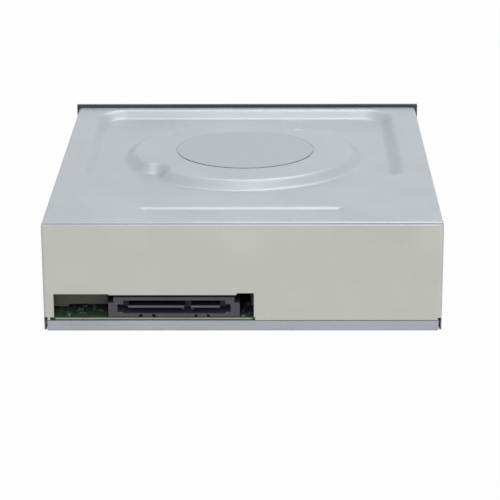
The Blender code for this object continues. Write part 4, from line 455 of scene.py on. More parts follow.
class Form:
    """A shape in the making: one bmesh and the operators that a piece needs."""

    def __init__(self) -> None:
        """Starts with nothing."""
        self.mesh = bmesh.new()

    @classmethod
    def box(cls, low: Sequence[float], high: Sequence[float]) -> "Form":
        """Makes a box between two corners.

        Args:
            low: Its lowest corner.
            high: Its highest corner.

        Returns:
            The closed form.
        """
        form = cls()
        bmesh.ops.create_cube(form.mesh, size=1.0)
        first, last = Vector(low), Vector(high)
        matrix = Matrix.Translation((first + last) / 2) @ Matrix.Diagonal((*(last - first), 1.0))
        bmesh.ops.transform(form.mesh, matrix=matrix, verts=form.mesh.verts)
        return form

    @classmethod
    def rod(cls, centre: Sequence[float], radius: float, span: Span, axis: Axis = Axis.Z, steps: int = 48,
            tip: float | None = None) -> "Form":
        """Makes a cylinder or a cone along an axis.

        Args:
            centre: Its other two coordinates, in order.
            radius: The radius at the low end.
            span: The low and the high end along the axis.
            axis: The axis that it lies along.
            steps: Its sides.
            tip: The radius at the high end, where it differs.

        Returns:
            The closed form.
        """
        form = cls()
        bmesh.ops.create_cone(form.mesh, cap_ends=True, segments=steps, radius1=radius,
                              radius2=radius if tip is None else tip, depth=span[1] - span[0])
        middle = sum(span) / 2
        places = {Axis.X: (middle, *centre), Axis.Y: (centre[0], middle, centre[-1]), Axis.Z: (*centre, middle)}
        matrix = Matrix.Translation(places[axis]) @ Matrix.Rotation(axis.value[0], 4, axis.value[1])
        bmesh.ops.transform(form.mesh, matrix=matrix, verts=form.mesh.verts)
        return form

    @classmethod
    def bar(cls, outline: Sequence[Point], span: Span) -> "Form":
        """Draws an outline of (y, z) points out along X.

        Args:
            outline: The points in order round the outline.
            span: The low and the high end along X.

        Returns:
            The closed form.
        """
        form = cls()
        row = [form.mesh.verts.new((span[0], y, z)) for y, z in outline]
        end = form.mesh.faces.new(row)
        drawn = bmesh.ops.extrude_face_region(form.mesh, geom=[end], use_keep_orig=True)["geom"]
        verts = [item for item in drawn if isinstance(item, bmesh.types.BMVert)]
        bmesh.ops.translate(form.mesh, vec=(span[1] - span[0], 0.0, 0.0), verts=verts)
        bmesh.ops.recalc_face_normals(form.mesh, faces=form.mesh.faces)
        return form

    @classmethod
    def turned(cls, profile: Sequence[Point], centre: Sequence[float] = (0.0, 0.0), steps: int = 96) -> "Form":
        """Spins a profile about an upright axis.

        Args:
            profile: Its (radius, z) points in order.
            centre: Where the axis stands.
            steps: How many steps a full turn takes.

        Returns:
            The closed form.
        """
        form = cls()
        row = [form.mesh.verts.new((radius, 0.0, z)) for radius, z in profile]
        edges = [form.mesh.edges.new(pair) for pair in zip(row, row[1:])]
        bmesh.ops.spin(form.mesh, geom=row + edges, axis=(0, 0, 1), cent=(0, 0, 0), angle=math.tau, steps=steps,
                       use_merge=True, use_duplicate=False)
        bmesh.ops.remove_doubles(form.mesh, verts=form.mesh.verts, dist=1e-7)
        bmesh.ops.recalc_face_normals(form.mesh, faces=form.mesh.faces)
        bmesh.ops.translate(form.mesh, vec=(*centre, 0.0), verts=form.mesh.verts)
        return form

    def bevel(self, width: float, segments: int = 3,
              where: Callable[[bmesh.types.BMEdge], bool] | None = None) -> "Form":
        """Rounds edges.

        Args:
            width: How far the rounding runs from the edge.
            segments: How many faces it has.
            where: Picks the edges; all of them without it.

        Returns:
            This form.
        """
        edges = [edge for edge in self.mesh.edges if where is None or where(edge)]
        bmesh.ops.bevel(self.mesh, geom=edges, offset=width, offset_type="OFFSET", segments=segments, profile=0.5,
                        affect="EDGES", clamp_overlap=True, material=-1)
        return self

    def taper(self, axis: int, shares: Sequence[float]) -> "Form":
        """Draws in the points at a form's high end about the middle of that end.

        Args:
            axis: The axis that the form tapers along, as a number.
            shares: What is left of each of the end's sizes.

        Returns:
            This form.
        """
        level = max(vert.co[axis] for vert in self.mesh.verts)
        end = [vert for vert in self.mesh.verts if abs(vert.co[axis] - level) < TOUCH]
        middle = sum((vert.co for vert in end), Vector()) / len(end)
        bmesh.ops.scale(self.mesh, vec=shares, space=Matrix.Translation(-middle), verts=end)
        return self

    def moved(self, offset: Sequence[float]) -> "Form":
        """Moves the whole form and gives it back."""
        bmesh.ops.translate(self.mesh, vec=offset, verts=self.mesh.verts)
        return self

    def turned_by(self, degrees: float, around: str) -> "Form":
        """Turns the whole form about an axis through the origin and gives it back."""
        bmesh.ops.rotate(self.mesh, cent=(0.0, 0.0, 0.0), matrix=Matrix.Rotation(math.radians(degrees), 3, around),
                         verts=self.mesh.verts)
        return self

    def copy(self) -> "Form":
        """Makes a second form of the same shape.

        Returns:
            The new form.
        """
        form = Form()
        form.mesh.free()
        form.mesh = self.mesh.copy()
        return form

    def beside(self, *others: "Form") -> "Form":
        """Takes other forms into this mesh without joining them.

        Args:
            others: The forms, which are used up.

        Returns:
            This form.
        """
        for other in others:
            mesh = bpy.data.meshes.new("beside")
            other.mesh.to_mesh(mesh)
            self.mesh.from_mesh(mesh)
            bpy.data.meshes.remove(mesh)
            other.mesh.free()
        return self

    def mirrored(self) -> "Form":
        """Makes the same form on the other side of the middle plane.

        Returns:
            The new form.
        """
        form = self.copy()
        bmesh.ops.scale(form.mesh, vec=(-1, 1, 1), verts=form.mesh.verts)
        bmesh.ops.reverse_faces(form.mesh, faces=form.mesh.faces)
        return form

    def both_sides(self) -> "Form":
        """Takes the form's mirror image into its mesh."""
        return self.beside(self.mirrored())

    def temporary(self, name: str) -> bpy.types.Object:
        """Puts a copy of the mesh on a passing object.

        Args:
            name: The object's name.

        Returns:
            The object, linked to the scene.
        """
        mesh = bpy.data.meshes.new(name)
        self.mesh.to_mesh(mesh)
        made = bpy.data.objects.new(name, mesh)
        bpy.context.scene.collection.objects.link(made)
        return made

    def taken_from(self, base: bpy.types.Object, *tools: bpy.types.Object) -> "Form":
        """Takes over the shape of a passing object, and removes it and its tools.

        Args:
            base: The object, with modifiers.
            tools: The objects that its modifiers use.

        Returns:
            This form.
        """
        graph = bpy.context.evaluated_depsgraph_get()
        result = bpy.data.meshes.new_from_object(base.evaluated_get(graph))
        self.mesh.clear()
        self.mesh.from_mesh(result)
        bpy.data.meshes.remove(result)
        for passing in (base, *tools):
            mesh = passing.data
            bpy.data.objects.remove(passing, do_unlink=True)
            bpy.data.meshes.remove(mesh)
        return self

    def combined(self, operation: str, others: Iterable["Form"]) -> "Form":
        """Cuts other forms out of this one, or joins them on.

        Args:
            operation: Blender's name for what is done.
            others: The forms, which are used up.

        Returns:
            This form.
        """
        base = self.temporary("base")
        tools = []
        for other in others:
            tool = other.temporary("tool")
            change = base.modifiers.new("change", "BOOLEAN")
            change.operation, change.solver, change.object = operation, "EXACT", tool
            tools.append(tool)
            other.mesh.free()
        return self.taken_from(base, *tools)

    def cut(self, *others: "Form") -> "Form":
        """Cuts each form out of this one."""
        return self.combined("DIFFERENCE", others)

    def fuse(self, *others: "Form") -> "Form":
        """Joins each form to this one."""
        return self.combined("UNION", others)

    def thicken(self, wall: float) -> "Form":
        """Gives an open shell a wall on its inner side.

        Args:
            wall: How thick the wall is.

        Returns:
            This form, closed.
        """
        shell = self.temporary("shell")
        change = shell.modifiers.new("wall", "SOLIDIFY")
        change.thickness, change.offset, change.use_even_offset = wall, -1.0, True
        return self.taken_from(shell)

    def piece(self, name: str, finish: Finish, body: Body, replaces: Sequence[str] = (), slot: str | None = None,
              sharp: float = 30.0, edge: float = 0.0) -> bpy.types.Object:
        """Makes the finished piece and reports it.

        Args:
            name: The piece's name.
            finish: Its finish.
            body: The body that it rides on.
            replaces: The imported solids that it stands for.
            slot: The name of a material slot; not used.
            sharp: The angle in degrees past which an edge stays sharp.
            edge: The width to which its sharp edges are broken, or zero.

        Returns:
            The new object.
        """
        mesh = bpy.data.meshes.new(name)
        self.mesh.to_mesh(mesh)
        self.mesh.free()
        mesh.materials.append(finish.material())
        mesh.shade_smooth()
        mesh.set_sharp_from_angle(angle=math.radians(sharp))
        made = bpy.data.objects.new(name, mesh)
        bpy.context.scene.collection.objects.link(made)
        if edge > 0:
            broken = made.modifiers.new("broken_edges", "BEVEL")
            broken.width, broken.segments, broken.limit_method = edge, 2, "ANGLE"
            broken.angle_limit, broken.use_clamp_overlap = math.radians(40), True
        weights = made.modifiers.new("flat_faces_lead", "WEIGHTED_NORMAL")
        weights.keep_sharp, weights.weight = True, 90
        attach(made, body.value)
        if replaces:
            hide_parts(*replaces)
        LOG.info("%s on %s", name, body.value)
        return made


@dataclass
class Arc:
    """An arc of an outline, with its angles in degrees."""

    centre: Point
    radius: float
    start: float
    end: float
    steps: int


class Ring:
    """A closed row of points in a form, from which a wall is drawn."""

    def __init__(self, form: Form, verts: list[bmesh.types.BMVert]) -> None:
        """Keeps the form and the row."""
        self.form = form
        self.verts = verts

    @classmethod
    def drawn(cls, form: Form, arcs: Sequence[Arc], z: float) -> "Ring":
        """Draws an outline by spinning a point round the centre of each arc.

        Args:
            form: The form to draw in.
            arcs: The arcs in order, which straight edges join where they don't meet.
            z: The height of the outline.

        Returns:
            The closed ring, counter-clockwise as the arcs run.
        """
        mesh = form.mesh
        row: list[bmesh.types.BMVert] = []
        for arc in arcs:
            centre = Vector((*arc.centre, z))
            step = (arc.end - arc.start) / arc.steps
            start, steps = arc.start, arc.steps
            first = centre + Matrix.Rotation(math.radians(start), 3, "Z") @ Vector((arc.radius, 0.0, 0.0))
            if row and (row[-1].co - first).length < TOUCH:
                start, steps = start + step, steps - 1
                first = centre + Matrix.Rotation(math.radians(start), 3, "Z") @ Vector((arc.radius, 0.0, 0.0))
            vert = bmesh.ops.create_vert(mesh, co=first)["vert"][0]
            bmesh.ops.spin(mesh, geom=[vert], axis=(0, 0, 1), cent=centre, steps=steps,
                           angle=math.radians(step * steps), use_duplicate=False)
            chain = [vert]
            while True:
                onward = [edge.other_vert(chain[-1]) for edge in chain[-1].link_edges]
                onward = [found for found in onward if found not in chain[-2:]]
                if not onward:
                    break
                chain.append(onward[0])
            if row:
                mesh.edges.new((row[-1], chain[0]))
            row.extend(chain)
        if (row[-1].co - row[0].co).length < TOUCH:
            mesh.verts.remove(row.pop())
        mesh.edges.new((row[-1], row[0]))
        return cls(form, row)

    @classmethod
    def circle(cls, form: Form, centre: Point, radius: float, z: float, steps: int = 96) -> "Ring":
        """Draws a circle at a height and gives its ring."""
        step = 360 / steps
        return cls.drawn(form, [Arc(centre, radius, 0.0, 360.0 - step, steps - 1)], z)

    def edges(self) -> list[bmesh.types.BMEdge]:
        """Finds the ring's edges.

        Returns:
            The edges in order.
        """
        found = []
        for vert, onward in zip(self.verts, self.verts[1:] + self.verts[:1]):
            found.append(next(edge for edge in vert.link_edges if edge.other_vert(vert) is onward))
        return found

    def mitres(self) -> list[Vector]:
        """Finds the way inwards at each point.

        Returns:
            A vector for each point, as long as keeps its two edges parallel.
        """
        count = len(self.verts)
        ways = []
        for i, vert in enumerate(self.verts):
            back = (vert.co - self.verts[i - 1].co).normalized()
            onward = (self.verts[(i + 1) % count].co - vert.co).normalized()
            first, second = Vector((-back.y, back.x, 0.0)), Vector((-onward.y, onward.x, 0.0))
            ways.append((first + second) / (1.0 + first.dot(second)))
        return ways

    def stepped(self, inset: float, drop: float) -> "Ring":
        """Extrudes the ring inwards and down.

        Args:
            inset: How far inwards.
            drop: How far down.

        Returns:
            The new ring.
        """
        ways = self.mitres()
        place = {vert: i for i, vert in enumerate(self.verts)}
        made = bmesh.ops.extrude_edge_only(self.form.mesh, edges=self.edges())["geom"]
        row: list[bmesh.types.BMVert] = list(self.verts)
        for vert in [item for item in made if isinstance(item, bmesh.types.BMVert)]:
            old = next(edge.other_vert(vert) for edge in vert.link_edges if edge.other_vert(vert) in place)
            row[place[old]] = vert
        for vert, old, way in zip(row, self.verts, ways):
            vert.co = old.co + way * inset - Vector((0.0, 0.0, drop))
        return Ring(self.form, row)

    def wall(self, run: float, depth: float, steps: int = 10) -> "Ring":
        """Draws a pressed wall, rounded at its top and its foot.

        Args:
            run: How far inwards the foot lies.
            depth: How far down.
            steps: How many faces the wall has from top to foot.

        Returns:
            The ring at its foot.
        """
        ring = self
        before_run, before_drop = 0.0, 0.0
        for i in range(1, steps + 1):
            share = i / steps
            drop = share * share * (3 - 2 * share)
            ring = ring.stepped(run * (share - before_run), depth * (drop - before_drop))
            before_run, before_drop = share, drop
        return ring

    def fill_with(self, *holes: "Ring") -> None:
        """Fills the flat between this ring and the rings inside it."""
        edges = self.edges() + [edge for hole in holes for edge in hole.edges()]
        bmesh.ops.triangle_fill(self.form.mesh, edges=edges, use_beauty=True, use_dissolve=False, normal=(0, 0, 1))


@dataclass
class TopCover:
    """The pressed steel cover: top, sides and rear wall in one sheet, and the foil over its hole.

    Each pressed form is drawn by its upper edge, from which its wall runs down.
    """

    # the folded sheet
    half: float = 0.073
    front: float = -0.0823
    rear: float = 0.085
    top: float = 0.0413
    foot: float = 0.0002
    sheet: float = 0.0008
    bend: float = 0.0012
    # the recess round the disc, a little off the middle
    spindle_y: float = -0.015
    depth: float = 0.0032
    run: float = 0.0063
    shift: float = 0.0007
    # the raised disc, with the foil's seat round the hole
    disc: float = 0.0427
    seat: float = 0.0280
    seat_run: float = 0.00012
    seat_depth: float = 0.00018
    hole: float = 0.020
    foil_radius: float = 0.0274
    foil_under: float = 0.00015
    foil_sheet: float = 0.00028
    foil_edge: float = 0.00022
    foil_soft: float = 0.00008
    # the short rib near the rear
    rib_x: Span = (-0.0382, 0.0394)
    rib_y: float = 0.0668
    rib_radius: float = 0.0034
    rib_run: float = 0.0031
    rib_depth: float = 0.00063
    # small dents as x, y, radius and depth, where one below zero stands up
    dimples: tuple[tuple[float, float, float, float], ...] = (
        (0.0304, -0.0384, 0.0036, 0.00042), (-0.0212, -0.0463, 0.0036, -0.00055), (0.0254, 0.0088, 0.0018, 0.00025),
        (0.0376, 0.0509, 0.0020, 0.0002), (-0.0048, 0.0504, 0.0020, -0.00016))
    # the rear window as low x, high x and top of each stretch, and the notches below and beside it
    window: tuple[tuple[float, float, float], ...] = (
        (-0.0039, 0.0020, 0.0147), (0.0020, 0.0493, 0.0140), (0.0493, 0.0690, 0.01435))
    lip_top: float = 0.00425
    notch_top: float = 0.0054
    notch_wide: float = 0.0016
    notch_narrow: float = 0.0007
    end_notch_back: float = 0.010
    end_notch_low: float = 0.0004
    end_notch_left_top: float = 0.0051
    # the nick in the fold's left end: how far it reaches in from the side and from the rear, and its heights
    nick: float = 0.0010
    nick_z: Span = (0.0406, 0.0416)
    # what is taken off along the rear's upper edge, as (y, z) points
    fold: tuple[Point, ...] = (
        (0.0818, 0.0413), (0.0820, 0.04126), (0.0823, 0.04115), (0.0826, 0.04103), (0.0829, 0.04094),
        (0.0835, 0.0409), (0.0835, 0.04078), (0.0845, 0.04077), (0.0848, 0.04073), (0.08495, 0.04064),
        (0.0850, 0.04052), (0.0852, 0.0402), (0.0852, 0.0416), (0.0818, 0.0416))
    # the side walls: fixing holes, and slots for the bezel's hooks
    fixing_radius: float = 0.0016
    fixing_y: Span = (-0.0326, 0.04665)
    fixing_z: Span = (0.010, 0.02184)
    slot_y: Span = (-0.0777, -0.0742)
    slot_z: Span = (0.0237, 0.0303)
    # the rounded lower corner at the rear
    corner_radius: float = 0.0012
    corner_top: float = 0.0014

    def recess(self) -> list[Arc]:
        """Draws the recess, which bulges round the disc.

        Returns:
            The outline's arcs in order.
        """
        half, front, back = 0.0638, -0.0795, 0.023
        far, near, fillet, bulge = 0.013, 0.0072, 0.006, 0.0615
        rise = back + fillet - self.spindle_y
        across = math.sqrt((bulge + fillet) ** 2 - rise ** 2)
        angle = math.degrees(math.atan2(rise, across))
        arcs = [Arc((half - far, front + far), far, 270, 360, 18), Arc((half - near, back - near), near, 0, 90, 12),
                Arc((across, back + fillet), fillet, 270, 180 + angle, 12),
                Arc((0.0, self.spindle_y), bulge, angle, 180 - angle, 72),
                Arc((-across, back + fillet), fillet, 360 - angle, 270, 12),
                Arc((near - half, back - near), near, 90, 180, 12),
                Arc((far - half, front + far), far, 180, 270, 18)]
        return self.aside(arcs)

    def plateau(self) -> list[Arc]:
        """Draws the raised disc with its notch.

        Returns:
            The outline's arcs in order.
        """
        radius, corner, fillet, notch_x, notch_y = self.disc, 0.0032, 0.0073, 0.0275, 0.0192
        reach, low_y, high_x = radius - corner, notch_y - corner, notch_x - corner
        low_x, high_y = math.sqrt(reach ** 2 - low_y ** 2), math.sqrt(reach ** 2 - high_x ** 2)
        low, high = math.degrees(math.atan2(low_y, low_x)), math.degrees(math.atan2(high_y, high_x))
        arcs = [Arc((low_x, self.spindle_y + low_y), corner, low, 90, 12),
                Arc((notch_x + fillet, self.spindle_y + notch_y + fillet), fillet, 270, 180, 12),
                Arc((high_x, self.spindle_y + high_y), corner, 0, high, 10),
                Arc((0.0, self.spindle_y), radius, high, 360 + low, 120)]
        return self.aside(arcs)

    def aside(self, arcs: list[Arc]) -> list[Arc]:
        """Moves an outline sideways by as much as the pressing stands off the middle."""
        return [replace(arc, centre=(arc.centre[0] + self.shift, arc.centre[1])) for arc in arcs]

    def rib(self) -> list[Arc]:
        """Draws the short rib as two half circles."""
        (low, high), y, radius = self.rib_x, self.rib_y, self.rib_radius
        return [Arc((high - radius, y), radius, -90, 90, 20), Arc((low + radius, y), radius, 90, 270, 20)]

    def folded(self) -> Form:
        """Folds the sheet: a top and three walls, with rounded bends but for the one along the rear.

        Returns:
            The open skin.
        """
        form = Form.box((-self.half, self.front, self.foot), (self.half, self.rear, self.top))
        gone = [face for face in form.mesh.faces if face.normal.z < -0.5 or face.normal.y < -0.5]
        bmesh.ops.delete(form.mesh, geom=gone, context="FACES")
        form.bevel(self.bend, 6, lambda edge: len(edge.link_faces) == 2 and not all(
            v.co.y > self.rear - LEVEL and v.co.z > self.top - LEVEL for v in edge.verts))
        return form

    def shell(self) -> Form:
        """Presses the recess, the raised disc, the rib and the dents into the folded sheet.

        Returns:
            The sheet's outer skin, with its faces outwards.
        """
        form = self.folded()
        mesh = form.mesh
        flat = max((face for face in mesh.faces if face.normal.z > 0.99), key=lambda face: face.calc_area())
        corners = list(flat.verts)
        bmesh.ops.delete(mesh, geom=[flat], context="FACES_ONLY")
        outer = Ring(form, corners)
        recess = Ring.drawn(form, self.recess(), self.top)
        rib = Ring.drawn(form, self.rib(), self.top)
        marks_out, marks_in = [], []
        for x, y, radius, dent in self.dimples:
            ring = Ring.circle(form, (x, y), radius, self.top, 32)
            ring.wall(radius * 0.9, dent, 6).fill_with()
            on_disc = math.hypot(x, y - self.spindle_y) < self.disc
            (marks_in if on_disc else marks_out).append(ring)
        outer.fill_with(recess, rib, *marks_out)
        foot = recess.wall(self.run, self.depth)
        rib.wall(self.rib_run, self.rib_depth, 8).fill_with()
        plateau = Ring.drawn(form, self.plateau(), self.top)
        foot.fill_with(plateau.wall(-self.run, self.depth))
        seat = Ring.circle(form, (0.0, self.spindle_y), self.seat, self.top)
        plateau.fill_with(seat, *marks_in)
        seat_foot = seat.stepped(self.seat_run, self.seat_depth)
        seat_foot.fill_with(Ring.circle(form, (0.0, self.spindle_y), self.hole, self.top - self.seat_depth))
        bmesh.ops.recalc_face_normals(mesh, faces=mesh.faces)
        if sum(face.normal.z * face.calc_area() for face in mesh.faces) < 0:
            bmesh.ops.reverse_faces(mesh, faces=mesh.faces)
        return form

    def rear_openings(self) -> list[Form]:
        """Makes what is punched out of the rear: window, lip, notches and the fold's step.

        Returns:
            The cutters.
        """
        near, far, end = self.rear - 0.002, self.rear + CLEAR, self.rear - self.end_notch_back
        inner, outer, foot = self.half - self.sheet, self.half + CLEAR, self.end_notch_low
        low, high = self.window[0][0], self.window[-1][1]
        return [
            *[Form.box((x - GRIP, near, -CLEAR), (x_end + GRIP, far, top)) for x, x_end, top in self.window],
            Form.box((-inner, near, -CLEAR), (inner, far, self.lip_top)),
            Form.box((high - GRIP, near, 0.0), (high + self.notch_wide, far, self.notch_top)),
            Form.box((low - self.notch_narrow, near, 0.0), (low + GRIP, far, self.notch_top)),
            Form.box((inner - 0.0006, end, foot), (inner + 0.0005, far, self.notch_top)),
            Form.box((-inner - 0.0005, end, foot), (0.0007 - inner, far, self.end_notch_left_top)),
            Form.bar(self.fold, (-outer, outer)),
            Form.box((-outer, self.rear - self.nick, self.nick_z[0]), (self.nick - self.half, far, self.nick_z[1]))]

    def side_openings(self) -> list[Form]:
        """Makes what is punched out of the side walls: fixing holes, hook slots and rounded corners.

        Returns:
            The cutters.
        """
        inner, outer = self.half - self.sheet, self.half + CLEAR
        tools = [Form.rod((y, z), self.fixing_radius, (-self.half - CLEAR, outer), Axis.X, 32)
                 for y in self.fixing_y for z in self.fixing_z]
        slot = Form.box((inner - CLEAR, self.slot_y[0], self.slot_z[0]), (outer, self.slot_y[1], self.slot_z[1]))
        middle = (self.rear - self.corner_radius, self.corner_top)
        corner = Form.box((inner - CLEAR, middle[0], -CLEAR), (outer, self.rear + CLEAR, middle[1]))
        corner.cut(Form.rod(middle, self.corner_radius, (inner - 2 * CLEAR, self.half + 2 * CLEAR), Axis.X, 48))
        return [*tools, slot.both_sides(), corner.both_sides()]

    def cover(self) -> None:
        """Makes the cover, with painted warm light on its rear wall and painted shade on the step of the fold."""
        form = self.shell().thicken(self.sheet).cut(*self.rear_openings(), *self.side_openings())
        cover = form.piece("embossed_cover", COVER_STEEL, Body.CASE, ["top_cover"], "zinc_coated_steel", 32.0)
        cover.data.materials.append(REAR_STEEL_PAINTED_WARM_LIGHT.material())
        cover.data.materials.append(FOLD_STEP_PAINTED_SHADE.material())
        (step_y, _), (_, step_z) = self.fold[4], self.fold[6]
        for face in cover.data.polygons:
            # the rear wall's faces take the warmer copy of the steel: painted warm light
            if face.normal.y > 0.9 and face.center.y > self.rear - 0.0002:
                face.material_index = 1
            # the fold's step faces take the dark grey: painted shade along the fold
            elif face.normal.y > 0.9 and face.center.z > step_z and face.center.y > step_y:
                face.material_index = 2

    def foil(self) -> None:
        """Makes the foil, with its rim faces painted dark as the shadow line round it."""
        under = self.top - self.foil_under
        profile = [(0.0, under), (self.foil_radius, under), (self.foil_radius, under + self.foil_edge),
                   (self.foil_radius - self.foil_soft, under + self.foil_sheet), (0.0, under + self.foil_sheet)]
        form = Form.turned(profile, (0.0, self.spindle_y), 128)
        seal = form.piece("disc_seal", FOIL, Body.CASE, ["foil_seal"], "seal_foil", 40.0)
        seal.data.materials.append(FOIL_RIM_PAINTED_SHADE.material())
        # the upright rim faces take the dark grey: painted shade round the foil
        for face in seal.data.polygons:
            if abs(face.normal.z) < 0.5:
                face.material_index = 1

    def build(self) -> None:
        """Makes the cover and the foil."""
        self.cover()
        self.foil()


@dataclass
class BottomPan:
    """The shallow bottom pan with its folded rear lip, its screw cups and its board posts."""

    half: float = 0.0719
    front: float = -0.0823
    rear: float = 0.085
    lip: float = 0.0040
    sheet: float = 0.0008
    bend: float = 0.0007
    screw_hole: float = 0.0015
    cups: tuple[Point, ...] = ((0.0585, -0.045), (0.0585, 0.0179))
    cup_outer: Span = (0.0046, 0.0042)
    cup_inner: Span = (0.0038, 0.0034)
    posts: tuple[Point, ...] = ((-0.003, 0.0779), (0.0585, 0.0299))
    post_radius: float = 0.0027
    fixing_x: float = 0.06985
    fixing_y: Span = (-0.0326, 0.04665)
    fixing_radius: float = 0.0012

    def build(self) -> None:
        """Makes the pan."""
        form = Form.box((-self.half, self.front, 0.0), (self.half, self.rear, self.lip))
        gone = [face for face in form.mesh.faces if face.normal.z > 0.5 or face.normal.y < -0.5]
        bmesh.ops.delete(form.mesh, geom=gone, context="FACES")
        form.bevel(self.bend, 5, lambda edge: len(edge.link_faces) == 2)
        form.thicken(self.sheet)
        for place in [(sign * x, y) for x, y in self.cups for sign in (-1, 1)]:
            form.fuse(Form.rod(place, self.cup_outer[0], (0.0004, 0.0020), tip=self.cup_outer[1]))
            form.cut(Form.rod(place, self.cup_inner[0], (-CLEAR, 0.0012), tip=self.cup_inner[1]),
                     Form.rod(place, self.screw_hole, (0.0, 0.003), steps=24))
        for place in self.posts:
            form.fuse(Form.rod(place, self.post_radius, (0.0004, 0.0035), steps=32))
            form.cut(Form.rod(place, self.screw_hole, (-CLEAR, 0.004), steps=24))
        form.cut(*[Form.rod((sign * self.fixing_x, y), self.fixing_radius, (-CLEAR, 0.002), steps=24)
                   for sign in (-1, 1) for y in self.fixing_y])
        form.piece("folded_pan", PAN_STEEL, Body.CASE, ["bottom_cover"], "zinc_coated_steel", 32.0)


@dataclass
class ScrewSet:
    """The case's and the board's small screws, each with a domed head and a cross recess."""

    # the head's and the shank's radius, the head's height and the length of the shank's point
    head: float = 0.0026
    shank: float = 0.0012
    rise: float = 0.00072
    point: float = 0.0005
    # the cross recess: half its reach, half its width and its depth
    blade: Corner = (0.0013, 0.00023, 0.0005)

    def screw(self, node: str, upward: bool, finish: Finish) -> None:
        """Makes the screw that stands for one packed screw on an upright axis.

        Args:
            node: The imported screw.
            upward: Whether it is driven from below.
            finish: Its finish.
        """
        low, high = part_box(node)
        length = high.z - low.z
        profile = [(0.0, 0.0), (self.head * 0.55, 0.00004), (self.head * 0.86, 0.00016), (self.head * 0.98, 0.0004),
                   (self.head, self.rise), (self.shank, self.rise), (self.shank, length - self.point),
                   (self.shank * 0.6, length), (0.0, length)]
        form = Form.turned(profile, steps=40)
        reach, width, deep = self.blade
        blade = Form.box((-reach, -width, -CLEAR), (reach, width, deep)).taper(2, (0.6, 0.7, 1.0))
        form.cut(blade.copy(), blade.turned_by(90, "Z"))
        if not upward:
            form.turned_by(180, "X").moved((0.0, 0.0, length))
        form.moved(((low.x + high.x) / 2, (low.y + high.y) / 2, low.z))
        form.piece(f"cross_head_{node}", finish, Body.CASE, [node], "zinc_screw", 35.0)

    def build(self) -> None:
        """Makes the case's and the board's screws."""
        for number in range(1, 5):
            self.screw(f"cover_screw_{number}", True, ZINC_SCREW)
        for number in range(1, 3):
            self.screw(f"board_screw_{number}", False, DARK_SCREW)


